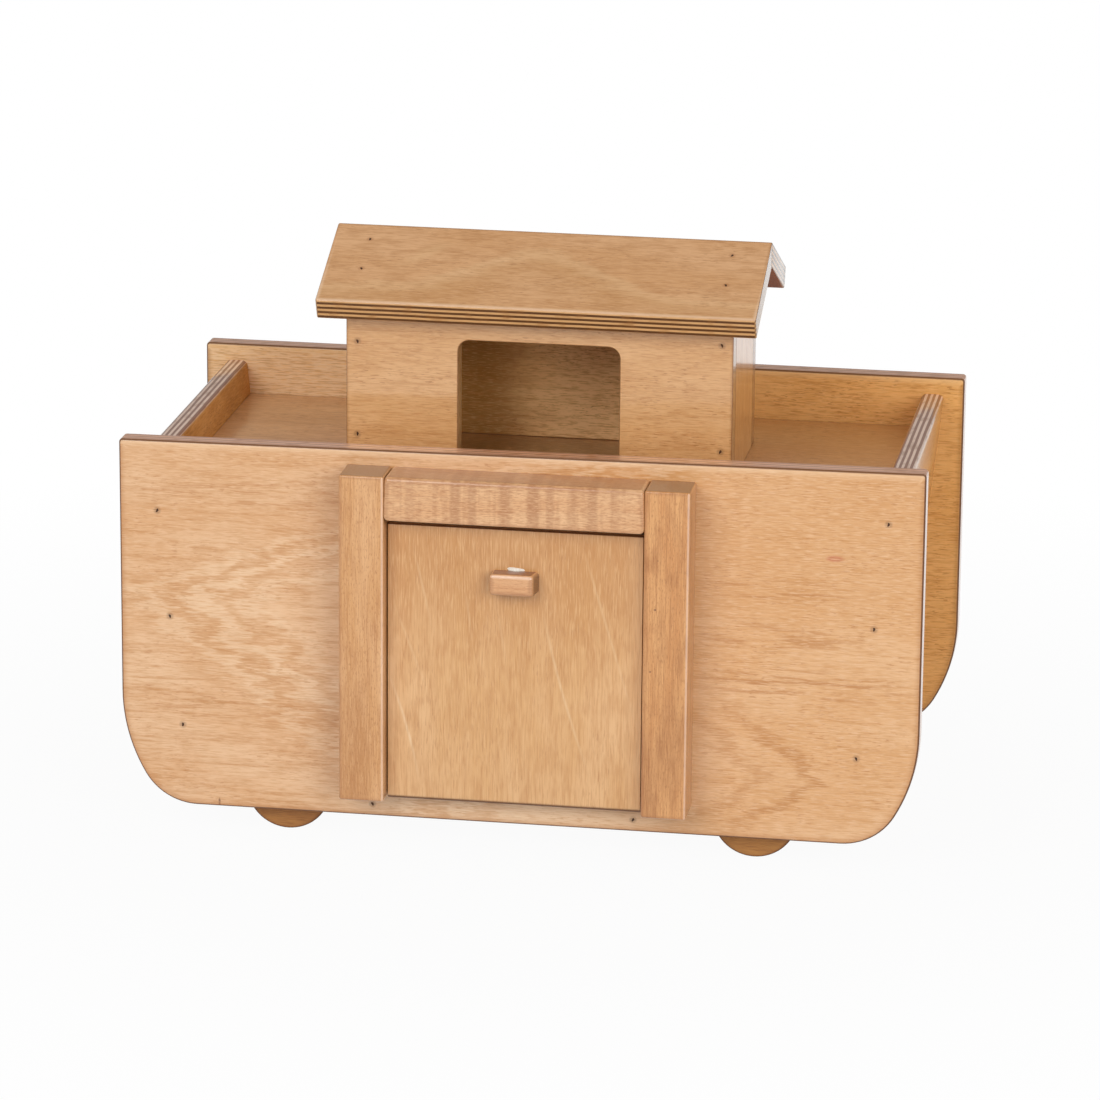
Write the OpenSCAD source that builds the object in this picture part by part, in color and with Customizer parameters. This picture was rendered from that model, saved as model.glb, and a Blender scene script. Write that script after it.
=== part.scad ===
// Wooden toy ark: a plywood hull on four wheels, a cabin on its deck and a ramp door that drops down.
//
// Hull frame, in which the pieces are drawn: X along the hull, -Y towards the ramp door,
// Z up from the lower edge of the side panels, Y = 0 midway between the side panels.
// Part frame: the same axes, with the origin on the ground in the middle of the footprint.

/* [Hull] */
// Length of the side panels
hull_l = 420; // [380:2:460]
// Width over the outer faces of the side panels
hull_w = 217; // [190:1:250]
// Height of the side panels at mid length
side_h = 199; // [190:1:230]
// Rise of the front panel's top edge from its left end to its right end
side_rise = 2.8; // [0:0.2:6]
// Thickness of every plywood board
ply = 12; // [10:0.5:14]
// Radius of the upper sweep of a side panel's lower corner
sweep_r = 90; // [70:1:110]
// Radius of the lower sweep of a side panel's lower corner
heel_r = 32; // [20:1:45]
// Angle over which the upper sweep runs before it meets the lower one
sweep_angle = 30; // [15:1:45]

/* [End boards, deck and floor] */
// Setback of an end board's outer top edge from the side panels' ends
end_inset = 10.8; // [6:0.2:20]
// Drop of the end boards' top below the side panels' top
end_drop = 9.3; // [4:0.1:16]
// Outward lean of the end boards
end_rake = 6.2; // [2:0.1:8]
// Height of the end boards' foot above the side panels' lower edge
end_foot = 3; // [1:0.5:6]
// Drop of the deck's upper face below the side panels' top
deck_drop = 27.6; // [22:0.2:32]
// Height of the floor's underside above the side panels' lower edge
floor_rise = 0.5; // [0:0.1:2]

/* [Ramp door and its frame] */
// Offset of the door frame's middle from the hull's middle
frame_x = 1.5; // [-10:0.5:10]
// Clear width between the posts
frame_open_w = 135; // [110:1:150]
// Width of a post
post_w = 23.5; // [18:0.5:30]
// Depth of the posts and the lintel, out from the hull
post_d = 22; // [18:0.5:28]
// Height of a post
post_h = 175; // [165:1:182]
// Height of the posts' foot above the side panels' lower edge
post_foot = 15.3; // [12:0.1:18]
// Height of the lintel
lintel_h = 23.2; // [18:0.2:28]
// Height of the door's lower edge above the side panels' lower edge
door_foot = 14.5; // [12:0.1:16]
// Clearance between the door and each post
door_side_gap = 1.4; // [0.8:0.1:2.5]
// Clearance between the door's top and the lintel
door_top_gap = 3.7; // [1.5:0.1:6]
// Clearance between the door's back and the hull
door_back_gap = 0.8; // [0.6:0.1:1.5]
// Radius of the door's lower front edge
door_toe_r = 3; // [2:0.5:4]
// Depth of the hinge line behind the door's front face
hinge_in = 4.5; // [3.5:0.1:5.5]
// Diameter of a hinge pin
hinge_pin_d = 3; // [2:0.5:4]
// Length of a hinge pin inside its post
hinge_pin_in_post = 14; // [8:1:16]
// Length of a hinge pin inside the door
hinge_pin_in_door = 16; // [10:1:24]
// Overlap of the door on each side of the hull's opening
opening_lap_side = 5; // [3:0.5:10]
// Overlap of the door below the hull's opening
opening_lap_foot = 4; // [2:0.5:8]
// Overlap of the door above the hull's opening
opening_lap_top = 7; // [4:0.5:12]
// Width of the door handle
handle_w = 24.7; // [16:0.1:36]
// Shift of the door handle from the door's middle
handle_shift = -0.3; // [-5:0.1:5]
// Height of the door handle
handle_h = 11.4; // [7:0.1:14]
// Depth of the door handle, out from the door
handle_d = 9; // [6:0.5:10]
// Height of the handle's underside above the door's lower edge
handle_up = 115.8; // [90:0.1:125]

/* [Cabin] */
// Length of the cabin over its end walls
cabin_l = 204.4; // [180:0.2:230]
// Width of the cabin over its front and back walls
cabin_w = 92.6; // [80:0.2:100]
// Height of the roof's ridge above the deck
ridge_h = 120.7; // [110:0.1:140]
// Slope of the roof
roof_slope = 23.5; // [18:0.5:30]
// Length of a roof panel down its slope
roof_run = 67.9; // [62:0.1:74]
// Overhang of the roof past each end wall
roof_over = 13.4; // [6:0.2:20]
// Width of the cabin's doorway
doorway_w = 85.4; // [60:0.2:110]
// Height of the cabin's doorway
doorway_h = 71.6; // [55:0.2:75]
// Radius of the doorway's upper corners
doorway_r = 6; // [3:0.5:12]

/* [Wheels] */
// Diameter of a wheel
wheel_d = 45; // [40:1:52]
// Thickness of a wheel
wheel_t = 12; // [8:0.5:16]
// Chamfer on a wheel's edges
wheel_edge = 1; // [0.5:0.1:2]
// Distance of an axle from the side panels' ends
axle_inset = 86; // [78:1:96]
// Clearance on each face of a wheel
wheel_side_gap = 1.5; // [1:0.1:3]
// Clearance round a wheel in its floor notch
wheel_round_gap = 2.5; // [1.5:0.1:5]
// Diameter of an axle pin
axle_d = 5; // [4:0.5:6]
// Wood left above an axle pin in the floor
axle_cover = 2; // [1.5:0.1:2.5]
// Length of an axle pin inside its side panel
axle_in_side = 8; // [5:0.5:8.5]
// Length of an axle pin inside the floor
axle_in_floor = 14; // [8:1:24]

/* [Brads] */
// Diameter of a brad
brad_d = 1.6; // [1.2:0.1:2]
// Length of a brad
brad_l = 25; // [20:1:26]
// Depth of a brad's head below the wood
brad_set = 0.6; // [0.3:0.1:1]
// Height of the lowest cabin brads above the deck
cabin_brad_low = 18.5; // [12:0.5:25]
// Height of the upper left cabin brads above the deck
cabin_brad_left = 68.5; // [50:0.5:76]
// Height of the upper right cabin brads above the deck
cabin_brad_right = 75.5; // [50:0.5:76]
// Distance of the upper roof brads from the ridge, down the slope
roof_brad_high = 13; // [11:0.5:18]
// Distance of the lower roof brads from the ridge, down the slope
roof_brad_low = 39; // [30:0.5:39]
// Distance of the left floor brads from their axles, towards the middle
floor_brad_left = 48; // [36:1:80]
// Distance of the right floor brads from their axles, towards the middle
floor_brad_right = 62; // [36:1:80]
// Distance of the outer deck brads from the middle of an end board
deck_brad_y = 62; // [40:1:66]

/* [Fits] */
// Radial clearance of a pin or brad that is fixed in its hole
fixed_fit = 0.02; // [0.01:0.01:0.05]
// Radial clearance of a pin that turns in its hole
run_fit = 0.05; // [0.03:0.01:0.1]

/* [Hidden] */
$fn = 48;
// Angle between points on an arc of an outline
arc_step = 3;
// Overshoot of a cutting shape past the face that it opens
cut = 1;
// Heights of the end board brads above the side panels' lower edge, left end and right end
end_brads_left = [44, 103, 160];
end_brads_right = [47, 117, 173];

wheel_r = wheel_d / 2;
side_in = hull_w / 2 - ply;
front_y = -hull_w / 2;
floor_top = floor_rise + ply;
axle_z = floor_top - axle_cover - axle_d / 2;
ride_h = wheel_r - axle_z;
axle_x = hull_l / 2 - axle_inset;
notch_d = wheel_t + 2 * wheel_side_gap;
notch_l = wheel_d + 2 * wheel_round_gap;
wheel_y = side_in - wheel_side_gap - wheel_t / 2;
axle_in_y = side_in - notch_d - axle_in_floor;
axle_l = axle_in_floor + notch_d + axle_in_side;
end_top = side_h - end_drop;
deck_top = side_h - deck_drop;
deck_foot = deck_top - ply;
deck_mid = deck_top - ply / 2;
floor_mid = floor_rise + ply / 2;
post_top = post_foot + post_h;
lintel_foot = post_top - lintel_h;
door_w = frame_open_w - 2 * door_side_gap;
door_top = lintel_foot - door_top_gap;
door_back = front_y - door_back_gap;
door_front = door_back - ply;
hinge_y = door_front + hinge_in;
hinge_r = ply - hinge_in;
hinge_z = door_foot + hinge_r;
hinge_pin_l = hinge_pin_in_door + door_side_gap + hinge_pin_in_post;
opening_w = door_w - 2 * opening_lap_side;
opening_foot = door_foot + opening_lap_foot;
opening_top = door_top - opening_lap_top;
ridge_z = deck_top + ridge_h;
cabin_out = cabin_w / 2;
cabin_in = cabin_out - ply;
gable_x = cabin_l / 2 - ply / 2;
roof_l = cabin_l + 2 * roof_over;

SHELL = "#d9a868";
DECK = "#c98f52";
BEECH = "#d39a66";
ROOF = "#d8a15c";
WHEEL = "#a9713f";
STEEL = "#6b6058";

// Points along an arc, from one angle to another
function arc(x, y, r, from, to) =
    let (n = ceil(abs(to - from) / arc_step))
    [for (i = [0 : n]) [x + r * cos(from + (to - from) * i / n), y + r * sin(from + (to - from) * i / n)]];

// An outline mirrored from side to side, in turning order
function mirrored(points) = [for (i = [len(points) - 1 : -1 : 0]) [-points[i][0], points[i][1]]];

// The end boards' faces at a height: how far out the outer face, the inner face and the middle lie
function end_out(z) = hull_l / 2 - end_inset - (end_top - z) * tan(end_rake);
function end_in(z) = end_out(z) - ply / cos(end_rake);
function end_mid(z) = (end_out(z) + end_in(z)) / 2;

// The underside of the roof at a distance from the ridge line
function roof_under(y) = ridge_z - ply / cos(roof_slope) - abs(y) * tan(roof_slope);

// Hull frame to part frame
module set_down() {
    translate([0, post_d / 2, ride_h]) children();
}

// An outline in X and Z, given a thickness towards the back from a place in Y
module along_y(y, t) {
    translate([0, y + t, 0]) rotate([90, 0, 0]) linear_extrude(t) children();
}

// An outline in Y and Z, given a length along X from a place in X
module along_x(x, l) {
    translate([x, 0, 0]) rotate([90, 0, 90]) linear_extrude(l) children();
}

// Side panel outline: a flat top, and lower corners that sweep in two radii
module side_outline(rise) {
    sweep_z = heel_r + (sweep_r - heel_r) * sin(sweep_angle);
    heel_x = hull_l / 2 - sweep_r + (sweep_r - heel_r) * cos(sweep_angle);
    corner = concat(
        arc(heel_x, heel_r, heel_r, -90, -sweep_angle),
        arc(hull_l / 2 - sweep_r, sweep_z, sweep_r, -sweep_angle, 0)
    );
    top = [[hull_l / 2, side_h + rise / 2], [-hull_l / 2, side_h - rise / 2]];
    polygon(concat(corner, top, mirrored(corner)));
}

// Places of the brads through a side panel, in X and Z
function side_brad_places() = concat(
    [for (z = end_brads_left) [-end_mid(z), z]],
    [for (z = end_brads_right) [end_mid(z), z]],
    [[floor_brad_left - axle_x, floor_mid], [axle_x - floor_brad_right, floor_mid]]
);

// Places of the brads through a long cabin wall, in X and Z
function cabin_brad_places() = [
    for (x = [-gable_x, gable_x], z = [cabin_brad_low, x < 0 ? cabin_brad_left : cabin_brad_right])
        [x, deck_top + z]
];

// A brad, point down, with its head at a depth under Z = 0
module brad() {
    translate([0, 0, -brad_set - brad_l]) cylinder(d = brad_d, h = brad_l);
}

// The hole of a brad
module brad_hole() {
    translate([0, 0, -brad_set - brad_l]) cylinder(r = brad_d / 2 + fixed_fit, h = brad_set + brad_l + cut);
}

// Brads driven in through a wall whose outer face is at a distance, from the front (-1) or the back (1)
module driven_along_y(places, face, side) {
    for (p = places) translate([p[0], side * face, p[1]]) rotate([-side * 90, 0, 0]) children();
}

// Brads driven in through the end boards into the deck's ends
module driven_into_deck() {
    for (side = [-1, 1], y = [-deck_brad_y, 0, deck_brad_y])
        translate([side * end_out(deck_mid), y, deck_mid]) rotate([0, side * 90, 0]) children();
}

// Brads driven in through the roof panels into the end walls, from the front (-1) or the back (1)
module driven_into_roof(side) {
    for (x = [-gable_x, gable_x], s = [roof_brad_high, roof_brad_low])
        translate([x, side * s * cos(roof_slope), ridge_z - s * sin(roof_slope)])
            rotate([-side * roof_slope, 0, 0]) children();
}

// Shapes set at each wheel: left and right, front and back
module at_axle(end, side) {
    translate([end * axle_x, 0, axle_z]) rotate([side * -90, 0, 0]) children();
}

// The fixed axle pin of a wheel, or its hole
module axle(fit, extra) {
    translate([0, 0, axle_in_y - extra]) cylinder(r = axle_d / 2 + fit, h = axle_l + 2 * extra);
}

// The holes of the axle pins
module axle_holes(side) {
    for (end = [-1, 1]) at_axle(end, side) axle(fixed_fit, fixed_fit);
}

// The two hinge pins of the ramp door, or their holes
module hinge_pins(fit, extra) {
    for (side = [-1, 1])
        translate([frame_x + side * (door_w / 2 - hinge_pin_in_door - extra), hinge_y, hinge_z])
            rotate([0, side * 90, 0])
                cylinder(r = hinge_pin_d / 2 + fit, h = hinge_pin_l + 2 * extra);
}

module side_panel_front() {
    color(SHELL) set_down() difference() {
        along_y(front_y, ply) side_outline(side_rise);
        along_y(front_y - cut, ply + 2 * cut)
            translate([frame_x - opening_w / 2, opening_foot])
                square([opening_w, opening_top - opening_foot]);
        driven_along_y(side_brad_places(), hull_w / 2, -1) brad_hole();
        axle_holes(-1);
    }
}

module side_panel_back() {
    color(SHELL) set_down() difference() {
        along_y(side_in, ply) side_outline(0);
        driven_along_y(side_brad_places(), hull_w / 2, 1) brad_hole();
        axle_holes(1);
    }
}

module end_board(side) {
    outline = [
        [end_in(end_foot), end_foot], [end_out(end_foot), end_foot],
        [end_out(end_top), end_top], [end_in(end_top), end_top]
    ];
    color(SHELL) set_down() difference() {
        along_y(-side_in, 2 * side_in) polygon(side > 0 ? outline : mirrored(outline));
        driven_along_y(side_brad_places(), hull_w / 2, -1) brad_hole();
        driven_along_y(side_brad_places(), hull_w / 2, 1) brad_hole();
        driven_into_deck() brad_hole();
    }
}

module end_board_left() {
    end_board(-1);
}

module end_board_right() {
    end_board(1);
}

// A board that lies between the side panels and fits between the leaning end boards
module level_board(foot) {
    right = [[end_in(foot), foot], [end_in(foot + ply), foot + ply]];
    along_y(-side_in, 2 * side_in) polygon(concat(right, mirrored(right)));
}

module floor_board() {
    color(DECK) set_down() difference() {
        level_board(floor_rise);
        for (end = [-1, 1], side = [-1, 1])
            translate([end * axle_x, side * (side_in - notch_d / 2 + cut / 2), floor_mid])
                cube([notch_l, notch_d + cut, ply + 2 * cut], center = true);
        axle_holes(-1);
        axle_holes(1);
        driven_along_y(side_brad_places(), hull_w / 2, -1) brad_hole();
        driven_along_y(side_brad_places(), hull_w / 2, 1) brad_hole();
    }
}

module deck_board() {
    color(DECK) set_down() difference() {
        level_board(deck_foot);
        driven_into_deck() brad_hole();
    }
}

module door_post(side) {
    post_x = frame_x + side * (frame_open_w + post_w) / 2;
    color(BEECH) set_down() difference() {
        translate([post_x, front_y - post_d / 2, post_foot + post_h / 2])
            cube([post_w, post_d, post_h], center = true);
        hinge_pins(fixed_fit, fixed_fit);
    }
}

module door_post_left() {
    door_post(-1);
}

module door_post_right() {
    door_post(1);
}

module door_lintel() {
    color(BEECH) set_down() translate([frame_x - frame_open_w / 2, front_y - post_d, lintel_foot])
        cube([frame_open_w, post_d, lintel_h]);
}

// The ramp door turns about its hinge pins, so its lower back edge is round about the hinge line
module ramp_door() {
    outline = concat(
        arc(hinge_y, hinge_z, hinge_r, -90, 0),
        [[door_back, door_top], [door_front, door_top]],
        arc(door_front + door_toe_r, door_foot + door_toe_r, door_toe_r, 180, 270)
    );
    color(SHELL) set_down() difference() {
        along_x(frame_x - door_w / 2, door_w) polygon(outline);
        hinge_pins(run_fit, run_fit);
    }
}

module ramp_handle() {
    handle_x = frame_x + handle_shift - handle_w / 2;
    color(BEECH) set_down() translate([handle_x, door_front - handle_d, door_foot + handle_up])
        cube([handle_w, handle_d, handle_h]);
}

module ramp_hinge_pins() {
    color(STEEL) set_down() hinge_pins(0, 0);
}

// Cross-section of a long cabin wall, its top bevelled to the roof
module wall_section() {
    polygon([
        [-cabin_out, deck_top], [-cabin_in, deck_top],
        [-cabin_in, roof_under(cabin_in)], [-cabin_out, roof_under(cabin_out)]
    ]);
}

// Doorway outline: open to the deck, with rounded upper corners
module doorway_outline() {
    half = doorway_w / 2;
    corner = arc(half - doorway_r, deck_top + doorway_h - doorway_r, doorway_r, 0, 90);
    polygon(concat([[half, deck_top - cut]], corner, mirrored(corner), [[-half, deck_top - cut]]));
}

module cabin_wall_front() {
    color(ROOF) set_down() difference() {
        along_x(-cabin_l / 2, cabin_l) wall_section();
        along_y(-cabin_out - cut, ply + 2 * cut) doorway_outline();
        driven_along_y(cabin_brad_places(), cabin_out, -1) brad_hole();
    }
}

module cabin_wall_back() {
    color(ROOF) set_down() difference() {
        mirror([0, 1, 0]) along_x(-cabin_l / 2, cabin_l) wall_section();
        driven_along_y(cabin_brad_places(), cabin_out, 1) brad_hole();
    }
}

module cabin_gable(side) {
    color(ROOF) set_down() difference() {
        along_x(side * gable_x - ply / 2, ply) polygon([
            [-cabin_in, deck_top], [cabin_in, deck_top], [cabin_in, roof_under(cabin_in)],
            [0, roof_under(0)], [-cabin_in, roof_under(cabin_in)]
        ]);
        driven_along_y(cabin_brad_places(), cabin_out, -1) brad_hole();
        driven_along_y(cabin_brad_places(), cabin_out, 1) brad_hole();
        driven_into_roof(-1) brad_hole();
        driven_into_roof(1) brad_hole();
    }
}

module cabin_gable_left() {
    cabin_gable(-1);
}

module cabin_gable_right() {
    cabin_gable(1);
}

// Cross-section of the front roof panel: mitred at the ridge, square at the eave
module roof_section() {
    eave_y = -roof_run * cos(roof_slope);
    eave_z = ridge_z - roof_run * sin(roof_slope);
    polygon([
        [0, ridge_z], [eave_y, eave_z],
        [eave_y + ply * sin(roof_slope), eave_z - ply * cos(roof_slope)], [0, roof_under(0)]
    ]);
}

module roof_panel_front() {
    color(ROOF) set_down() difference() {
        along_x(-roof_l / 2, roof_l) roof_section();
        driven_into_roof(-1) brad_hole();
    }
}

module roof_panel_back() {
    color(ROOF) set_down() difference() {
        mirror([0, 1, 0]) along_x(-roof_l / 2, roof_l) roof_section();
        driven_into_roof(1) brad_hole();
    }
}

// A wheel is a disc with softened edges, bored to run on its axle pin
module wheel(end, side) {
    bore_r = axle_d / 2 + run_fit;
    half = wheel_t / 2;
    color(WHEEL) set_down() at_axle(end, side) translate([0, 0, wheel_y]) rotate_extrude() polygon([
        [bore_r, -half], [wheel_r - wheel_edge, -half], [wheel_r, -half + wheel_edge],
        [wheel_r, half - wheel_edge], [wheel_r - wheel_edge, half], [bore_r, half]
    ]);
}

module wheel_front_left() {
    wheel(-1, -1);
}

module wheel_front_right() {
    wheel(1, -1);
}

module wheel_back_left() {
    wheel(-1, 1);
}

module wheel_back_right() {
    wheel(1, 1);
}

module axle_pins() {
    color(STEEL) set_down() for (end = [-1, 1], side = [-1, 1]) at_axle(end, side) axle(0, 0);
}

module side_brads_front() {
    color(STEEL) set_down() driven_along_y(side_brad_places(), hull_w / 2, -1) brad();
}

module side_brads_back() {
    color(STEEL) set_down() driven_along_y(side_brad_places(), hull_w / 2, 1) brad();
}

module deck_brads() {
    color(STEEL) set_down() driven_into_deck() brad();
}

module cabin_brads_front() {
    color(STEEL) set_down() driven_along_y(cabin_brad_places(), cabin_out, -1) brad();
}

module cabin_brads_back() {
    color(STEEL) set_down() driven_along_y(cabin_brad_places(), cabin_out, 1) brad();
}

module roof_brads() {
    color(STEEL) set_down() {
        driven_into_roof(-1) brad();
        driven_into_roof(1) brad();
    }
}

side_panel_front();
side_panel_back();
end_board_left();
end_board_right();
floor_board();
deck_board();
door_post_left();
door_post_right();
door_lintel();
ramp_door();
ramp_handle();
ramp_hinge_pins();
cabin_wall_front();
cabin_wall_back();
cabin_gable_left();
cabin_gable_right();
roof_panel_front();
roof_panel_back();
wheel_front_left();
wheel_front_right();
wheel_back_left();
wheel_back_right();
axle_pins();
side_brads_front();
side_brads_back();
deck_brads();
cabin_brads_front();
cabin_brads_back();
roof_brads();
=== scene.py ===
"""Looks of a wooden toy ark: varnished plywood boards, a beech door frame, wheels and brads.

Each board is a numpy surface that stands for its solid in the frame. Lengths are in millimetres until a
surface becomes a mesh, and a mesh is in metres. X runs along the hull, -Y faces the ramp door, Z is up.
"""

import functools
import logging
import math
from collections.abc import Iterator
from dataclasses import dataclass, replace
from enum import Enum

import bpy
import numpy as np
from mathutils import Matrix, Vector


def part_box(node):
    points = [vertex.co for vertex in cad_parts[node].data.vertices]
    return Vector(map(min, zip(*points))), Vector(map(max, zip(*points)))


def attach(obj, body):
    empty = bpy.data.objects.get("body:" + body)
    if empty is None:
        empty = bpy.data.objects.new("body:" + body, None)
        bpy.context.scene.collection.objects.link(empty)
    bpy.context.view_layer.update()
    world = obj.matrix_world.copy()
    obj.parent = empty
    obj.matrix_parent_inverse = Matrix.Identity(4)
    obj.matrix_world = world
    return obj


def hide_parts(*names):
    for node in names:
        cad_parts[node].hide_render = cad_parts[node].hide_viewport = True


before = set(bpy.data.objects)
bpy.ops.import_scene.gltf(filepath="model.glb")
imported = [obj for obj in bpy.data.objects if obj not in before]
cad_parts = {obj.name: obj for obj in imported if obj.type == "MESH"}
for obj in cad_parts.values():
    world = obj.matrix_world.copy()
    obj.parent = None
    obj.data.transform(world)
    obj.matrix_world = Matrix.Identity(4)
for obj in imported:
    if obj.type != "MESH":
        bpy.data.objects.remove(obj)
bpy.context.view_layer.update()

LOG = logging.getLogger("ark")
Objects = Iterator[bpy.types.Object]
MM = 0.001
X_AXIS = np.array([1.0, 0.0, 0.0])
Y_AXIS = np.array([0.0, 1.0, 0.0])
Z_AXIS = np.array([0.0, 0.0, 1.0])
# Steps round each rounded arris, and round each rounded corner of an outline
ARRIS_STEPS = 5
CORNER_STEPS = 6
# Steps along each sweep of a side panel's lower corners
SWEEP_STEPS = 12
# Width of the border on a face where the varnish has darkened, in millimetres
BAND = 1.2
# How much larger a corner's radius is than the arris that runs round it, in millimetres
CORNER_SPARE = 0.1
# Lean of the end boards and slope of the roof, in degrees
END_RAKE = 6.2
ROOF_SLOPE = 23.5
# Smallest value that counts as more than nothing, and slack of a ray's hit at the ends of an edge
TINY = 1e-9
SLACK = 1e-5
# Smallest tilt of a normal away from the face that is measured
LEAST_TILT = 1e-6


def linear(hex_colour: str) -> tuple[float, float, float, float]:
    """Turn an sRGB hex colour to linear light: red, green, blue and an alpha of 1."""
    srgb = np.array([int(hex_colour[i:i + 2], 16) for i in (1, 3, 5)]) / 255
    light = np.where(srgb <= 0.04045, srgb / 12.92, ((srgb + 0.055) / 1.055) ** 2.4)
    return (*light.tolist(), 1.0)


def box_mm(node: str) -> tuple[np.ndarray, np.ndarray, np.ndarray]:
    """Lowest and highest corner of a solid of the frame, and its size, in millimetres."""
    low, high = (np.array(corner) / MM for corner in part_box(node))
    return low, high, high - low


class Axis(Enum):
    """A board's own axes: across and up its drawn outline, and out of it."""

    ACROSS = 0
    UP = 1
    OUT = 2


@dataclass(frozen=True)
class Place:
    """Where an outline sits: its origin, and the directions across and up it."""

    origin: np.ndarray
    across: np.ndarray
    up: np.ndarray

    def turn(self, local: np.ndarray) -> np.ndarray:
        """Turn vectors from the outline's axes (across, up, out) to the frame's."""
        return local @ np.stack([self.across, self.up, np.cross(self.across, self.up)])


def upright(x: float, y: float, z: float, across: np.ndarray = X_AXIS) -> Place:
    """A place on an upright face: its origin and the direction across it, with Z up it."""
    return Place(np.array([x, y, z]), across, Z_AXIS)


# An outline's axes are the frame's own: X, Y and Z
IN_FRAME = Place(np.zeros(3), X_AXIS, Y_AXIS)


@dataclass(frozen=True)
class Surface:
    """A closed surface in an outline's axes: points, normals, nearness to an edge, and outward faces.

    Nearness is 1 at an edge that the varnish has darkened, -1 at one that gets a painted highlight, and 0
    away from both.
    """

    points: np.ndarray
    normals: np.ndarray
    near: np.ndarray
    faces: list[list[int]]


def arc(centre: tuple[float, float], radius: float, start: float, end: float, steps: int) -> np.ndarray:
    """Points on an arc: its centre plus its radius times (cos, sin) of steps + 1 even angles, in degrees."""
    angle = np.radians(np.linspace(start, end, steps + 1))
    return np.array(centre) + radius * np.stack([np.cos(angle), np.sin(angle)], axis=1)


def rounded(corners: np.ndarray, radius: float | list[float]) -> np.ndarray:
    """Round the corners of a convex outline.

    Each corner becomes an arc. Its centre lies back from the corner by the radius along both edges' normals,
    and its points swing evenly from one edge's outward normal to the next one's.

    Args:
        corners: Corner points, n by 2, anticlockwise.
        radius: One radius, or one for each corner.

    Returns:
        The outline, n * (CORNER_STEPS + 1) by 2.
    """
    radii = np.broadcast_to(np.asarray(radius, float), len(corners))[:, None]
    ahead = np.roll(corners, -1, axis=0) - corners
    ahead = ahead / np.linalg.norm(ahead, axis=1, keepdims=True)
    leaving = np.stack([ahead[:, 1], -ahead[:, 0]], axis=1)
    arriving = np.roll(leaving, 1, axis=0)
    cosine = np.sum(arriving * leaving, axis=1, keepdims=True)
    centres = corners - radii * (arriving + leaving) / (1 + cosine)
    turn = np.arccos(np.clip(cosine, -1, 1))[:, None, :]
    share = np.linspace(0, 1, CORNER_STEPS + 1)[None, :, None]
    swing = np.sin((1 - share) * turn) * arriving[:, None] + np.sin(share * turn) * leaving[:, None]
    return (centres[:, None] + radii[:, None] * swing / np.sin(turn)).reshape(-1, 2)


def rectangle(width: tuple[float, float], height: tuple[float, float],
              radius: float | list[float]) -> np.ndarray:
    """A rectangle between two widths and two heights, with rounded corners from its lower left one on."""
    corners = [[width[0], height[0]], [width[1], height[0]], [width[1], height[1]], [width[0], height[1]]]
    return rounded(np.array(corners, float), radius)


def edge_rings(front: np.ndarray, back: np.ndarray, depth: float, arris: tuple[np.ndarray, np.ndarray],
               side: int, closed: bool, band: float) -> tuple[np.ndarray, np.ndarray, np.ndarray]:
    """Carry an edge profile round an outline.

    The profile is a border on the front face, a quarter round at the front arris, a straight edge, a quarter
    round at the back arris, and a border on the back face. At an angle a on a quarter round of radius r it
    lies r (1 - sin a) in from the outline and r (1 - cos a) deep from the face. The outline itself runs
    evenly from the front one to the back one. A border's inner line is the face's rim, shrunk along each
    axis by the band (an opening's is stretched).

    Args:
        front: Outline at the front face, n by 2.
        back: Outline at the back face, n by 2.
        depth: Distance between the two faces.
        arris: Radii of the front and the back arris, one for each point of the outline.
        side: 1 for an outer edge, -1 for the edge of an opening.
        closed: Whether the outline comes back to its first point.
        band: Width of the borders.

    Returns:
        Points and normals, each rings by n by 3, and nearness to the edge: 0 at the inner lines, else 1.
    """
    ahead = np.roll(front, -1, axis=0) - front
    if not closed:
        ahead[-1] = ahead[-2]
    ahead = ahead / np.linalg.norm(ahead, axis=1, keepdims=True)
    leaving = side * np.stack([ahead[:, 1], -ahead[:, 0]], axis=1)
    arriving = np.roll(leaving, 1, axis=0)
    if not closed:
        arriving[0] = leaving[0]
    mitre = (arriving + leaving) / (1 + np.sum(arriving * leaving, axis=1, keepdims=True))
    outward = mitre / np.linalg.norm(mitre, axis=1, keepdims=True)

    angle = np.linspace(0, math.pi / 2, ARRIS_STEPS + 1)
    angle = np.concatenate([angle, angle[::-1]])[:, None]
    at_front = np.arange(len(angle))[:, None] <= ARRIS_STEPS
    radius = np.where(at_front, arris[0], arris[1])
    deep = radius * (1 - np.cos(angle))
    deep = np.where(at_front, deep, depth - deep)
    inset = radius * (1 - np.sin(angle))
    share = (deep / depth)[..., None]
    flat = front * (1 - share) + back * share - inset[..., None] * mitre
    points = np.concatenate([flat, -deep[..., None]], axis=2)
    lift = np.broadcast_to(np.where(at_front, 1, -1) * np.cos(angle), deep.shape)
    normals = np.concatenate([np.sin(angle)[..., None] * outward, lift[..., None]], axis=2)

    rim = flat[[0, -1]]
    low, high = rim.min(axis=1, keepdims=True), rim.max(axis=1, keepdims=True)
    if not closed:
        low[..., 1] = -high[..., 1]
    shrink = 1 - 2 * side * band / (high - low)
    border = points[[0, -1]].copy()
    border[..., :2] = (low + high) / 2 * (1 - shrink) + rim * shrink
    points = np.concatenate([border[:1], points, border[1:]])
    normals = np.concatenate([normals[:1], normals, normals[-1:]])
    near = np.ones(points.shape[:2])
    near[[0, -1]] = 0
    return points, normals, near


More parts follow.
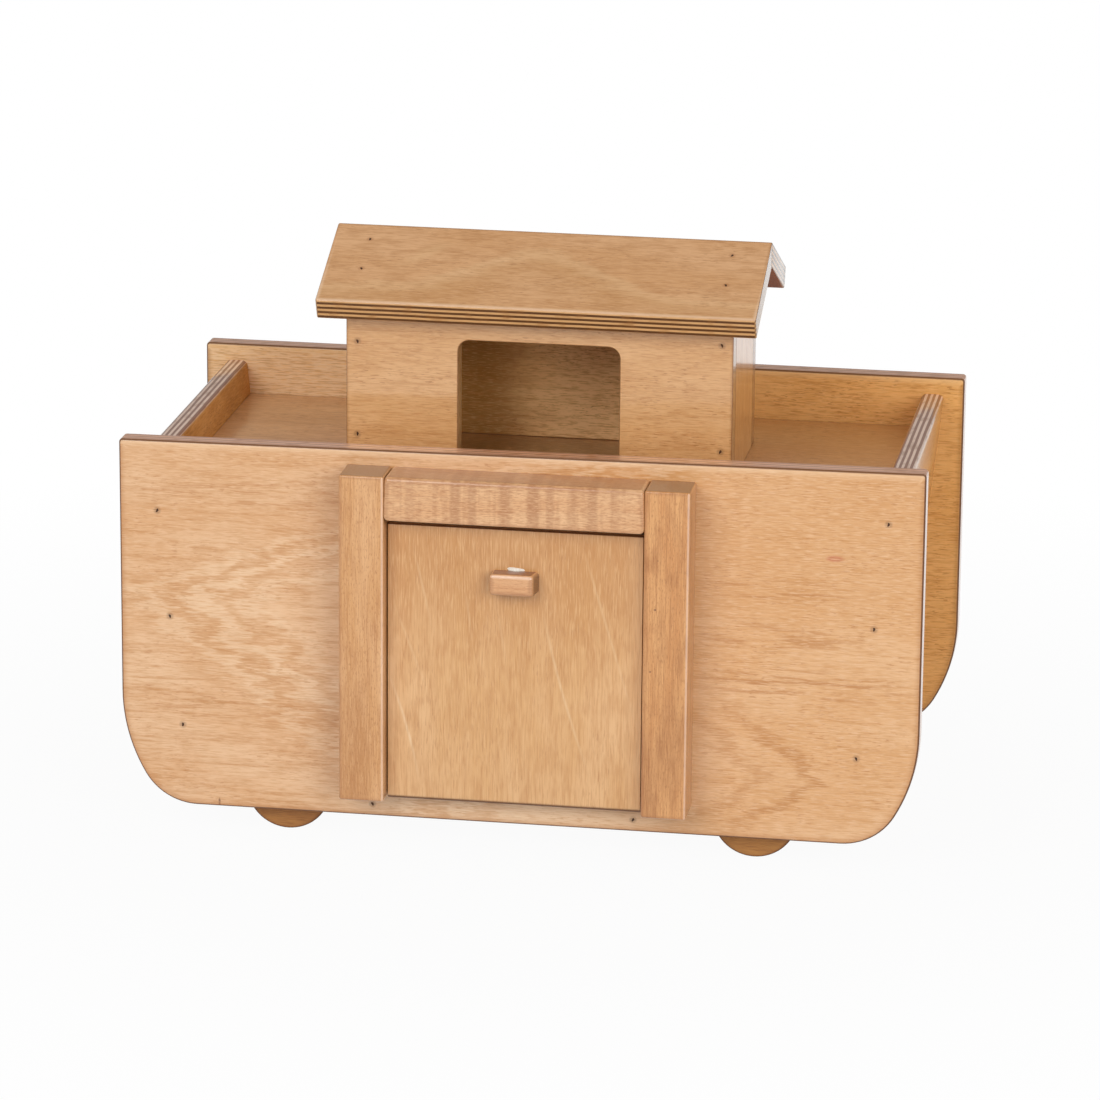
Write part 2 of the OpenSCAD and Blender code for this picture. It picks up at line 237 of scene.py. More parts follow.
def grid_faces(rings: int, columns: int, closed_rings: bool, closed_columns: bool) -> list[list[int]]:
    """Outward quads of a grid whose points are counted ring by ring.

    Args:
        rings: Number of rings.
        columns: Number of points in a ring.
        closed_rings: Whether the last ring joins the first.
        closed_columns: Whether a ring's last point joins its first.

    Returns:
        Four point numbers for each quad.
    """
    ring = np.arange(rings if closed_rings else rings - 1)[:, None]
    column = np.arange(columns if closed_columns else columns - 1)[None, :]
    next_ring = (ring + 1) % rings
    next_column = (column + 1) % columns
    corners = [ring * columns + column, next_ring * columns + column,
               next_ring * columns + next_column, ring * columns + next_column]
    return np.stack(corners, axis=-1).reshape(-1, 4).tolist()


def fan(middle: int, loop: np.ndarray) -> list[list[int]]:
    """Triangles from a middle point to each stretch of a closed loop of points."""
    return np.stack([np.full_like(loop, middle), loop, np.roll(loop, -1)], axis=1).tolist()


def plate(front: np.ndarray, depth: float, arris_front: float | np.ndarray, arris_back: float | np.ndarray,
          back: np.ndarray | None = None, band: float = BAND) -> Surface:
    """A solid board: the edge profile carried round a convex outline, with both faces closed to a pole.

    Args:
        front: Outline at the front face, anticlockwise as seen from the front.
        depth: Distance between the two faces.
        arris_front: Radius of the front arris, one or one for each point.
        arris_back: Radius of the back arris, one or one for each point.
        back: Outline at the back face, if it differs.
        band: Width of the faces' borders.

    Returns:
        The closed surface.
    """
    back = front if back is None else back
    count = len(front)
    arris = tuple(np.broadcast_to(np.asarray(a, float), count) for a in (arris_front, arris_back))
    points, normals, near = edge_rings(front, back, depth, arris, 1, True, band)
    rings = len(points)
    poles = np.array([[*front.mean(0), 0.0], [*back.mean(0), -depth]])
    first = np.arange(count)
    last = (rings - 1) * count + first
    faces = grid_faces(rings, count, False, True)
    faces += fan(rings * count, first) + fan(rings * count + 1, last[::-1])
    return Surface(np.concatenate([points.reshape(-1, 3), poles]),
                   np.concatenate([normals.reshape(-1, 3), [[0, 0, 1], [0, 0, -1]]]),
                   np.concatenate([near.ravel(), [0, 0]]), faces)


def on_rays(outline: np.ndarray, angles: np.ndarray, closed: bool) -> np.ndarray:
    """Where rays from the origin cross an outline that goes round it once.

    A ray d meets the edge e from a point a at the distance (a x e) / (d x e), where the share
    (a x d) / (d x e) of the edge lies from 0 to 1.

    Args:
        outline: Points round the origin, n by 2.
        angles: The rays' angles.
        closed: Whether the outline comes back to its first point.

    Returns:
        One point for each ray.
    """
    start = outline if closed else outline[:-1]
    edge = np.roll(outline, -1, axis=0)[:len(start)] - start
    ray = np.stack([np.cos(angles), np.sin(angles)], axis=1)[:, None]
    slant = ray[..., 0] * edge[:, 1] - ray[..., 1] * edge[:, 0]
    slant = np.where(np.abs(slant) < TINY, np.nan, slant)
    share = (start[:, 0] * ray[..., 1] - start[:, 1] * ray[..., 0]) / slant
    distance = (start[:, 0] * edge[:, 1] - start[:, 1] * edge[:, 0]) / slant
    hit = (share > -SLACK) & (share < 1 + SLACK) & (distance > 0)
    reach = np.nanmax(np.where(hit, distance, np.nan), axis=1)
    return ray[:, 0] * reach[:, None]


def framed_plate(outer: np.ndarray, hole: np.ndarray, depth: float, arris: float, hole_arris: float,
                 closed: bool = True, back_stretch: float = 1.0, band: float = BAND) -> Surface:
    """A board with an opening: rays from the opening's middle join its outline to the board's.

    The rays pass through every point of both outlines, so both keep their shape. The edge profile is carried
    round each, and the faces lie between them. Only the outer edge counts for nearness. Where the opening
    runs out through the foot, both feet are closed to a pole.

    Args:
        outer: Outer outline about the origin, anticlockwise.
        hole: Outline of the opening about the origin, anticlockwise.
        depth: Thickness.
        arris: Radius of the outer arrises.
        hole_arris: Radius of the opening's arrises.
        closed: False where the opening runs out through the foot.
        back_stretch: Height of the outer outline at the back, as a share of its height at the front.
        band: Width of the faces' borders.

    Returns:
        The closed surface.
    """
    both = np.concatenate([outer, hole])
    angles = np.arctan2(both[:, 1], both[:, 0])
    angles = np.unique(np.round(np.where(angles < -TINY, angles + 2 * math.pi, np.abs(angles)), 5))
    if not closed:
        angles[-1] = math.pi
    count = len(angles)
    rims = []
    for outline, radius, side, stretch in ((outer, arris, 1, back_stretch), (hole, hole_arris, -1, 1.0)):
        front = on_rays(outline, angles, closed)
        radii = np.full(count, radius)
        back = front * [1, stretch]
        points, normals, near = edge_rings(front, back, depth, (radii, radii), side, closed, band)
        rims.append((points, normals, near * (side > 0)))
    points, normals, near = (np.concatenate([a, b[::-1]]) for a, b in zip(*rims))
    rings = len(points)
    faces = grid_faces(rings, count, True, closed)
    points, normals, near = points.reshape(-1, 3), normals.reshape(-1, 3), near.ravel()
    if not closed:
        right = np.arange(rings) * count
        left = right + count - 1
        faces += fan(len(points), right[::-1]) + fan(len(points) + 1, left)
        points = np.concatenate([points, [points[right].mean(0), points[left].mean(0)]])
        normals = np.concatenate([normals, [[0, -1, 0], [0, -1, 0]]])
        near = np.concatenate([near, [1, 1]])
    return Surface(points, normals, near, faces)


def painted_highlight_edge(surface: Surface, where: np.ndarray) -> Surface:
    """Turn the nearness of some points of a surface round: there the edge gets a painted highlight."""
    return replace(surface, near=np.where(where, -surface.near, surface.near))


# Points round a cap, and the shares of its reach where its rings lie, the last one being its foot
CAP_COLUMNS = 14
CAP_RINGS = (0.35, 0.7, 0.9, 1.0, 1.0)
# Largest turn of a cap, and step of its sine from one cap to the next, in radians
CAP_TURN = (0.5, 2.4)


def caps(places: list[tuple[float, float]], half: tuple[float, float], height: float, sunk: float,
         lumps: float = 0.0) -> Surface:
    """Low oval caps on a face, one at each place.

    At a share s of its reach a cap stands height (1 - s^2) above the face. Its reach swells and shrinks three
    times round it by the share lumps, and its foot is closed a little way in. Each cap is turned a little, by
    the sine of its number, so that no two look alike.

    Args:
        places: Middles of the caps.
        half: Half the width and half the height of a cap's outline.
        height: Height of a cap's middle over the face.
        sunk: Depth of its foot.
        lumps: Unevenness of its outline.

    Returns:
        The closed surfaces of all caps.
    """
    columns, share = CAP_COLUMNS, np.array(CAP_RINGS)[:, None]
    level = height * (1 - share ** 2)
    level[-1] = -sunk
    angle = np.linspace(0, 2 * math.pi, columns, endpoint=False)
    swell = share * (1 + lumps * np.sin(3 * angle + 1))
    wide, tall = half[0] * swell * np.cos(angle), half[1] * swell * np.sin(angle)
    rings = np.stack(np.broadcast_arrays(wide, tall, level), axis=-1)
    one = np.concatenate([rings.reshape(-1, 3), [[0, 0, height], [0, 0, -sunk]]])
    slope = np.stack(np.broadcast_arrays(wide * height / half[0] ** 2, tall * height / half[1] ** 2, 0.5),
                     axis=-1)
    normals = np.concatenate([slope.reshape(-1, 3), [[0, 0, 1], [0, 0, -1]]])
    normals = normals / np.linalg.norm(normals, axis=1, keepdims=True)
    loop = np.arange(columns)
    faces = grid_faces(len(share), columns, False, True) + fan(len(one) - 2, loop)
    faces = [*faces, *fan(len(one) - 1, (len(share) - 1) * columns + loop[::-1])]
    shift = np.array([[x, y, 0.0] for x, y in places])
    turn = CAP_TURN[0] * np.sin(CAP_TURN[1] * np.arange(len(places)))
    cos, sin, nil, full = np.cos(turn), np.sin(turn), np.zeros_like(turn), np.ones_like(turn)
    turns = np.stack([cos, sin, nil, -sin, cos, nil, nil, nil, full], axis=1).reshape(-1, 3, 3)
    points, normals = (one @ turns + shift[:, None]).reshape(-1, 3), (normals @ turns).reshape(-1, 3)
    every = [[i + k * len(one) for i in face] for k in range(len(places)) for face in faces]
    return Surface(points, normals, np.zeros(len(points)), every)


def joined(parts: list[tuple[Surface, Place]]) -> Surface:
    """Put surfaces from several places into one surface in the frame's axes.

    Args:
        parts: Surfaces, each with its place.

    Returns:
        The surface of them all.
    """
    points, normals, near, faces = [], [], [], []
    for surface, place in parts:
        start = sum(len(p) for p in points)
        points.append(place.origin + place.turn(surface.points))
        normals.append(place.turn(surface.normals))
        near.append(surface.near)
        faces += [[i + start for i in face] for face in surface.faces]
    return Surface(*(np.concatenate(values) for values in (points, normals, near)), faces)


# The property that holds a node's mode, where it isn't its operation
MODES = {"MapRange": "interpolation_type", "Mix": "data_type"}


class Paint:
    """A node tree, and the one call that adds nodes to it."""

    def __init__(self, owner: bpy.types.Material | bpy.types.World) -> None:
        """Start the owner's tree empty."""
        owner.use_nodes = True
        self.owner = owner
        self.tree = owner.node_tree
        self.tree.nodes.clear()

    def add(self, kind: str, *inputs: object, **named: object) -> bpy.types.Node:
        """Add a node and feed its inputs: a node or a socket is linked, and any other value is set.

        Args:
            kind: The node's type, without the word ShaderNode. Its mode may follow after a dot.
            inputs: The first inputs in use, in their order on the node.
            named: Further inputs, with _ for a space, and the node's own properties, in lower case.

        Returns:
            The new node.
        """
        kind, _, mode = kind.partition(".")
        node = self.tree.nodes.new(f"ShaderNode{kind}")
        if mode:
            setattr(node, MODES.get(kind, "operation"), mode)
        usable = [s for s in node.inputs if s.enabled]
        feeds = list(zip(usable, inputs))
        for key, value in named.items():
            if key.islower():
                setattr(node, key, value)
            else:
                feeds.append((next(s for s in usable if s.name == key.replace("_", " ")), value))
        for socket, value in feeds:
            if isinstance(value, bpy.types.Node):
                value = next(s for s in value.outputs if s.enabled)
            if isinstance(value, bpy.types.NodeSocket):
                self.tree.links.new(value, socket)
            else:
                socket.default_value = value
        return node

    def layered(self, base: str | bpy.types.Node,
                layers: list[tuple[bpy.types.Node, str | bpy.types.Node]]) -> bpy.types.Node:
        """Lay tones over a base, one after the other, each as far as its mask is full.

        Args:
            base: The lowest tone, a hex colour or a node.
            layers: A mask and a tone for each layer.

        Returns:
            The colour's node.
        """
        colour = base
        for mask, tone in layers:
            under, over = (linear(t) if isinstance(t, str) else t for t in (colour, tone))
            colour = self.add("Mix.RGBA", mask, under, over)
        return colour


# Depth in a 12 mm board where its inner face starts and is full, in millimetres
INNER_DEPTH = (10.0, 11.5)
# Varnish left on bare wood, how much rougher bare wood and pores are, and the varnish's own roughness
BARE_COAT = 0.1
BARE_ROUGHER = 0.6
PORES_ROUGHER = 0.12
COAT_ROUGHNESS = 0.12
IOR = 1.5
# Share of a figure's reach within which it is full
CORE = 0.4


class WoodPaint(Paint):
    """A wood's node tree: its coordinates along the grain, and marks drawn out along it."""

    def __init__(self, name: str, on_solid: bool = False) -> None:
        """Start the tree and its coordinates.

        Args:
            name: The material's name.
            on_solid: True for a level board of the frame, which holds no values: its grain runs along X, and
                its normals tell its edges.
        """
        super().__init__(bpy.data.materials.new(name))
        self.object = self.add("TexCoord").outputs["Object"]
        if on_solid:
            self.grain = self.object
            normal = self.add("NewGeometry").outputs["Normal"]
            size = self.add("VectorMath.ABSOLUTE", normal)
            facing = self.add("SeparateXYZ", size)
            self.rim = self.add("Math.SUBTRACT", 1.0, facing.outputs["Z"])
            self.endwise = facing.outputs["X"]
            self.near = self.add("Value").outputs[0]
        else:
            self.grain = self.add("Attribute", attribute_name="grain").outputs["Vector"]
            edge = self.add("Attribute", attribute_name="edge").outputs["Vector"]
            facing = self.add("SeparateXYZ", edge)
            self.rim = facing.outputs["X"]
            self.endwise = facing.outputs["Y"]
            self.near = facing.outputs["Z"]
        self.depth = self.add("SeparateXYZ", self.grain).outputs["Z"]

    def fibres(self, length: float, width: float, low: float, high: float, strength: float,
               detail: float = 2.0) -> bpy.types.Node:
        """A mask of marks drawn out along the grain: noise, 0 below low and full above high.

        Args:
            length: Length of a mark along the grain, in millimetres.
            width: Width of a mark, in millimetres.
            low: Noise value where a mark starts.
            high: Noise value where it is full.
            strength: Value of the mask where it is full.
            detail: Octaves of finer noise.

        Returns:
            The mask's node.
        """
        stretch = (1 / (length * MM), 1 / (width * MM), 1 / (width * MM))
        at = self.add("VectorMath.MULTIPLY", self.grain, stretch)
        noise = self.add("TexNoise", at, 1.0, detail)
        return self.add("MapRange.SMOOTHSTEP", noise, low, high, To_Max=strength)

    def offset(self, x: float, z: float) -> bpy.types.bpy_prop_collection:
        """Sockets X, Y and Z, in metres: how far a point lies from a place given in millimetres."""
        away = self.add("VectorMath.SUBTRACT", self.object, (x * MM, 0, z * MM))
        return self.add("SeparateXYZ", away).outputs

    def inner(self) -> bpy.types.Node:
        """1 on the inner face of a board, else 0."""
        deep = self.add("MapRange", self.depth, INNER_DEPTH[0] * MM, INNER_DEPTH[1] * MM)
        level = self.add("Math.SUBTRACT", 1.0, self.rim)
        return self.add("Math.MULTIPLY", deep, level)

    def varnished(self, colour: bpy.types.Node, relief: bpy.types.Node, bare: bpy.types.Node,
                  roughness: float, coat: float) -> bpy.types.Material:
        """Close the tree with clear varnish over the wood: gloss and a fine relief follow the pores.

        Args:
            colour: The wood's colour.
            relief: Mask of the pores, 0 to 1.
            bare: Mask of duller wood that has had less varnish, 0 to 1.
            roughness: Roughness between the pores.
            coat: Weight of the varnish's own reflection.

        Returns:
            The finished material.
        """
        weight = self.add("MapRange", bare, To_Min=coat, To_Max=BARE_COAT * coat)
        pores = self.add("Math.MULTIPLY_ADD", relief, PORES_ROUGHER, roughness)
        gloss = self.add("Math.MULTIPLY_ADD", bare, BARE_ROUGHER, pores)
        bump = self.add("Bump", Strength=0.22, Distance=0.0002, Height=relief)
        shader = self.add("BsdfPrincipled", Base_Color=colour, Roughness=gloss, IOR=IOR, Normal=bump,
                          Coat_Weight=weight, Coat_Roughness=COAT_ROUGHNESS, Coat_IOR=IOR)
        self.add("OutputMaterial", shader)
        return self.owner


@dataclass(frozen=True)
class Mark:
    """A soft oval of another tone about a point in X and Z, in millimetres, whole or in streaks.

    On a level board Y takes the place of Z. It may lie on the board's inner face alone.
    """

    x: float
    z: float
    half_x: float
    half_z: float
    colour: str
    strength: float
    streaky: bool = False
    level: bool = False
    inside: bool = False

    def mask(self, paint: WoodPaint) -> bpy.types.Node:
        """Full in the oval's core, and nothing outside it; streaks break it up along the fibres.

        Args:
            paint: The wood that it lies on.

        Returns:
            The mask's node.
        """
        x, z = self.x * MM, self.z * MM
        wide, tall = 1 / (self.half_x * MM), 1 / (self.half_z * MM)
        middle, scale = ((x, z, 0), (wide, tall, 0)) if self.level else ((x, 0, z), (wide, 0, tall))
        offset = paint.add("VectorMath.SUBTRACT", paint.object, middle)
        at = paint.add("VectorMath.MULTIPLY", offset, scale)
        reach = paint.add("VectorMath.LENGTH", at).outputs["Value"]
        oval = paint.add("MapRange.SMOOTHSTEP", reach, 1.0, CORE, To_Max=self.strength)
        if self.inside:
            oval = paint.add("Math.MULTIPLY", oval, paint.inner())
        if self.streaky:
            streaks = paint.fibres(34, 2.6, 0.47, 0.6, 1.0, detail=4.0)
            oval = paint.add("Math.MULTIPLY", oval, streaks)
        return oval


# How an arrow's bands stray: length and width of a stray along the fibres, in millimetres, and its share
BAND_STRAYS = ((30, 9, 1.0), (11, 1.0, 0.57))


@dataclass(frozen=True)
class Chevron:
    """Nested arrow-shaped bands of a veneer, about a blunt tip in X and Z, in millimetres.

    The way in from the arrow's line is run = side (x - tip x) + blunt - arm, with the way back along its arms
    arm = sqrt((rise / slope)^2 + blunt^2) and a slope of its own above and below the tip. Bands follow the
    sine of run + phase. They fade out at a reach on either side of the line, and at the arms' span.
    """

    x: float
    z: float
    side: int
    slope_up: float
    slope_down: float
    spacing: float
    phase: float
    outside: float
    inside: float
    colour: str
    strength: float
    blunt: float = 8.0
    # Stray of the bands along the fibres, as a share of their spacing, and how far back the arms run
    stray: float = 0.7
    span: float = 500.0

    def mask(self, paint: WoodPaint) -> bpy.types.Node:
        """Bands of run, strayed and broken up along the fibres.

        Args:
            paint: The wood that they lie in.

        Returns:
            The mask's node.
        """
        at = paint.offset(self.x, self.z)
        above = paint.add("Math.MAXIMUM", at["Z"], 0.0)
        below = paint.add("Math.MINIMUM", at["Z"], 0.0)
        rise = paint.add("Math.MULTIPLY", above, 1 / self.slope_up / MM)
        rise = paint.add("Math.MULTIPLY_ADD", below, 1 / self.slope_down / MM, rise)
        square = paint.add("Math.MULTIPLY_ADD", rise, rise, self.blunt ** 2)
        arm = paint.add("Math.SQRT", square)
        ahead = paint.add("Math.MULTIPLY_ADD", at["X"], self.side / MM, self.blunt)
        run = paint.add("Math.SUBTRACT", ahead, arm)
        reach = self.stray * self.spacing
        middle = reach * sum(share for _, _, share in BAND_STRAYS) / 2
        for length, width, share in BAND_STRAYS:
            stray = paint.fibres(length, width, 0.3, 0.7, share * reach, detail=3.0)
            run = paint.add("Math.ADD", run, stray)
        turn = paint.add("Math.ADD", run, self.phase - middle)
        turn = paint.add("Math.MULTIPLY", turn, 2 * math.pi / self.spacing)
        wave = paint.add("Math.SINE", turn)
        mask = paint.add("MapRange.SMOOTHSTEP", wave, -0.5, 1.0, To_Max=self.strength)
        for end in (-self.outside, self.inside):
            fade = paint.add("MapRange", run, end + middle, CORE * end + middle)
            mask = paint.add("Math.MULTIPLY", mask, fade)
        fade = paint.add("MapRange", arm, self.span, CORE * self.span)
        mask = paint.add("Math.MULTIPLY", mask, fade)
        broken = paint.fibres(12, 0.9, 0.2, 0.55, 1.0)
        return paint.add("Math.MULTIPLY", mask, broken)


@dataclass(frozen=True)
class Arch:
    """A sweep along the bell z = top - height (1 - exp(-((x - middle) / half)^2)), in millimetres."""

    x: float
    top: float
    height: float
    half: float
    above: float
    under: float
    colour: str
    strength: float

    def mask(self, paint: WoodPaint) -> bpy.types.Node:
        """Full at the curve, and fading out above and under it.

        Args:
            paint: The wood that it lies in.

        Returns:
            The mask's node.
        """
        at = paint.offset(self.x, self.top)
        share = paint.add("Math.MULTIPLY", at["X"], 1 / (self.half * MM))
        square = paint.add("Math.MULTIPLY", share, share)
        square = paint.add("Math.MULTIPLY", square, -1.0)
        bell = paint.add("Math.EXPONENT", square)
        curve = paint.add("Math.MULTIPLY_ADD", bell, -self.height, self.height)
        level = paint.add("Math.MULTIPLY_ADD", at["Z"], 1 / MM, curve)
        stray = paint.fibres(30, 6, 0.3, 0.7, 2.0, detail=3.0)
        level = paint.add("Math.ADD", level, stray)
        rise = paint.add("MapRange.SMOOTHSTEP", level, -self.under, 0.0, To_Max=self.strength)
        stop = paint.add("MapRange.SMOOTHSTEP", level, self.above, 0.0)
        return paint.add("Math.MULTIPLY", rise, stop)


@dataclass(frozen=True)
class Line:
    """A thin line down a veneer: at t under its top, x = top x + lean t + bend t^2, in millimetres."""

    x: float
    z: float
    length: float
    lean: float
    bend: float
    half: float
    colour: str
    strength: float

    def mask(self, paint: WoodPaint) -> bpy.types.Node:
        """Full on the line, nothing at half a width from it, thinning out at both ends.

        Args:
            paint: The wood that it lies in.

        Returns:
            The mask's node.
        """
        at = paint.offset(self.x, self.z)
        down = paint.add("Math.MULTIPLY", at["Z"], -1 / MM)
        slope = paint.add("Math.MULTIPLY_ADD", down, self.bend, self.lean)
        line = paint.add("Math.MULTIPLY", down, slope)
        aside = paint.add("Math.MULTIPLY", at["X"], 1 / MM)
        aside = paint.add("Math.SUBTRACT", aside, line)
        aside = paint.add("Math.ABSOLUTE", aside)
        mask = paint.add("MapRange.SMOOTHSTEP", aside, self.half, 0.0, To_Max=self.strength)
        for end, inward in ((0.0, 0.3 * self.length), (self.length, 0.6 * self.length)):
            fade = paint.add("MapRange", down, end, inward)
            mask = paint.add("Math.MULTIPLY", mask, fade)
        return mask


Figure = Mark | Chevron | Arch | Line


@dataclass(frozen=True)
class Plywood:
    """Clear-varnished plywood with a rotary-cut face veneer.

    The eye sees honey wood with broad drifts of tone, streaks and short dark dashes along the grain, a darker
    line where the arris was sanded through the veneer, and on the edges seven plies, by turns pale (long
    grain) and brown (end grain). The varnish is smooth and clear, so grazing views go white.
    """

    name: str
    pale: str
    middle: str
    dark: str
    dash: str
    arris: str = "#5E300A"
    ply_long: str = "#D9A468"
    ply_end: str = "#70451F"
    # Strength of the dashes, streaks, fine dark and light fibres, and blotches
    dashes: float = 0.55
    streaks: float = 0.45
    fine: float = 0.4
    light: float = 0.6
    mottle: float = 0.22
    # Length of the fibres, as a share of the usual length
    length: float = 1.0
    # Dark tone of the borders, and colour of the painted highlight along edges that catch the light
    burn: float = 0.4
    painted_highlight: str = "#F4D4B0"
    # Dark line on the arrises, turn where the plies start, varnish sanded off, and share of the dark tone
    # painted on the inner face as shade, as under the roof
    line: float = 0.9
    cut: float = 0.8
    worn: float = 0.9
    inner: float = 0.0
    coat: float = 0.9
    roughness: float = 0.34
    figures: tuple[Figure, ...] = ()
    on_solid: bool = False
    # Thickness of each of the seven plies of a 12 mm board
    ply: float = 12 / 7

    def face(self, paint: WoodPaint) -> bpy.types.Node:
        """Colour of the face veneer: drifts, streaks, pale fibres, the board's own figure, dashes.

        Args:
            paint: The wood's node tree.

        Returns:
            The colour's node.
        """
        where = paint.fibres(45, 16, 0.42, 0.58, self.dashes)
        long = self.length
        dash = paint.fibres(5.0 * long, 0.75, 0.58, 0.66, 1.0)
        layers = [(paint.fibres(95, 28, 0.36, 0.64, 1.0, detail=3.0), self.middle),
                  (paint.fibres(38, 2.4, 0.46, 0.72, self.streaks, detail=4.0), self.dark),
                  (paint.fibres(17, 7, 0.46, 0.66, self.mottle, detail=3.0), self.dark)]
        layers += [(figure.mask(paint), figure.colour) for figure in self.figures]
        layers += [(paint.fibres(8 * long, 0.65, 0.45, 0.68, self.fine), self.dark),
                   (paint.fibres(6.5 * long, 0.6, 0.48, 0.68, self.light), self.pale),
                   (paint.add("Math.MULTIPLY", dash, where), self.dash)]
        return paint.layered(self.pale, layers)

    def edge(self, paint: WoodPaint) -> bpy.types.Node:
        """Colour of the edges: plies counted in from the face, swapped where an edge looks along the grain.

        Args:
            paint: The wood's node tree.

        Returns:
            The colour's node.
        """
        stray = paint.fibres(24, 24, 0.3, 0.7, 0.12)
        count = paint.add("Math.MULTIPLY_ADD", paint.depth, 1 / (self.ply * MM), stray)
        shifted = paint.add("Math.ADD", count, 0.5)
        swing = paint.add("Math.PINGPONG", shifted, 1.0)
        even = paint.add("MapRange", swing, 0.46, 0.56)
        turned = paint.add("Math.SUBTRACT", even, paint.endwise)
        long_grain = paint.add("Math.ABSOLUTE", turned)
        stain = paint.fibres(9, 5, 0.48, 0.72, 0.45)
        return paint.layered(self.ply_end, [(long_grain, self.ply_long), (stain, self.dash)])

    def material(self) -> bpy.types.Material:
        """Put face, painted shade on the inner face, darkened border, painted highlight, arris and edges
        together under the varnish.

        Returns:
            The finished material.
        """
        paint = WoodPaint(self.name, self.on_solid)
        burnt = paint.add("MapRange", paint.near, To_Max=self.burn ** 0.5)
        burnt = paint.add("Math.MULTIPLY", burnt, burnt)
        # Painted highlight: a pale tone where the nearness is negative
        painted_highlight = paint.add("MapRange", paint.near, From_Max=-1.0, To_Max=0.5)
        line = paint.add("MapRange", paint.rim, 0.15, 0.4, To_Max=self.line)
        cut = paint.add("MapRange", paint.rim, self.cut, self.cut + 0.15)
        inner = paint.inner()
        # Painted shade on the inner face
        shade = paint.add("Math.MULTIPLY", inner, self.inner)
        colour = paint.layered(self.face(paint), [
            (shade, self.arris), (burnt, self.dash), (painted_highlight, self.painted_highlight), (line, self.arris),
            (cut, self.edge(paint))])
        uncut = paint.add("Math.SUBTRACT", 1.0, cut)
        worn = paint.add("Math.MULTIPLY", line, uncut)
        worn = paint.add("Math.MULTIPLY", worn, self.worn)
        bare = paint.add("Math.MAXIMUM", inner, worn)
        return paint.varnished(colour, paint.fibres(7, 0.7, 0.4, 0.7, 1.0), bare, self.roughness, self.coat)


@dataclass(frozen=True)
class Beech:
    """Planed and varnished solid beech.

    The eye sees pinkish tan wood with fine short flecks, soft lines along the grain, sometimes ripples square
    to it, reddish lines on its arrises, and brown-grey end grain.
    """

    name: str
    pale: str
    middle: str
    dark: str
    fleck: str
    end: str = "#966A42"
    arris: str = "#9A5A2A"
    blotch: float = 0.15
    # Colour of the painted highlight along edges that catch the light
    painted_highlight: str = "#F8DCC8"
    fine: float = 0.65
    flecks: float = 0.35
    # Length of the lines as a share of the usual length, and strength of ripples square to them
    length: float = 1.0
    ripple: float = 0.0
    # Share of the dark tone on the long sides, square to the face
    sides: float = 0.0
    coat: float = 0.8
    roughness: float = 0.34
    figures: tuple[Figure, ...] = ()

    def material(self) -> bpy.types.Material:
        """Lay lines, blotches and flecks on the wood, then its arrises, a painted highlight and end grain,
        under the varnish.

        Returns:
            The finished material.
        """
        paint = WoodPaint(self.name)
        sawn = paint.add("Math.MULTIPLY", paint.rim, paint.endwise)
        bend = paint.add("MapRange", paint.rim, 0.75, 0.4)
        border = paint.add("MapRange", paint.near, To_Max=0.3)
        border = paint.add("Math.MULTIPLY", border, bend)
        # Painted highlight: a pale tone where the nearness is negative, near the arris
        painted_highlight = paint.add("MapRange", paint.near, -0.7, -1.0, To_Max=0.35)
        painted_highlight = paint.add("Math.MULTIPLY", painted_highlight, bend)
        layers = [(paint.fibres(60, 9, 0.36, 0.64, 1.0, detail=3.0), self.middle),
                  (paint.fibres(50, 1.5, 0.5, 0.72, 0.5, detail=4.0), self.dark),
                  (paint.fibres(24, 7, 0.5, 0.7, self.blotch, detail=3.0), self.dark)]
        layers += [(figure.mask(paint), figure.colour) for figure in self.figures]
        layers += [(paint.fibres(4.5, 40, 0.5, 0.64, self.ripple), self.dark),
                   (paint.fibres(16 * self.length, 0.6, 0.44, 0.64, self.fine), self.dark),
                   (paint.fibres(11 * self.length, 0.55, 0.46, 0.64, self.fine), self.pale),
                   (paint.fibres(2.4, 0.6, 0.54, 0.66, self.flecks), self.fleck), (border, self.arris),
                   (painted_highlight, self.painted_highlight)]
        turned = paint.add("Math.SUBTRACT", paint.rim, paint.endwise)
        layers += [(paint.add("MapRange", turned, 0.6, 0.9, To_Max=self.sides), self.arris),
                   (paint.add("MapRange", sawn, 0.55, 0.95), self.end)]
        return paint.varnished(paint.layered(self.pale, layers), paint.fibres(3.4, 0.7, 0.45, 0.7, 1.0),
                               paint.inner(), self.roughness, self.coat)


@dataclass(frozen=True)
class Plain:
    """A small part's finish: two tones mottled at a grain size, in millimetres."""

    name: str
    tone: str
    other: str
    size: float
    roughness: float
    metallic: float = 0.0

    def material(self) -> bpy.types.Material:
        """Mottle the two tones by noise of the grain size, which also sets the gloss and a fine relief.

        Returns:
            The finished material.
        """
        paint = Paint(bpy.data.materials.new(self.name))
        at = paint.add("TexCoord").outputs["Object"]
        noise = paint.add("TexNoise", at, 1 / (self.size * MM), 3.0)
        mottle = paint.add("MapRange", noise, 0.35, 0.65)
        colour = paint.layered(self.tone, [(mottle, self.other)])
        gloss = paint.add("MapRange", noise, To_Min=self.roughness - 0.1, To_Max=self.roughness + 0.1)
        bump = paint.add("Bump", Strength=0.3, Distance=0.0001, Height=noise)
        shader = paint.add("BsdfPrincipled", Base_Color=colour, Roughness=gloss, Metallic=self.metallic,
                           Normal=bump)
        paint.add("OutputMaterial", shader)
        return paint.owner


Finish = Plywood | Beech | Plain


@functools.cache
def coat(finish: Finish) -> bpy.types.Material:
    """The material of a finish, made the first time that it is asked for."""
    return finish.material()


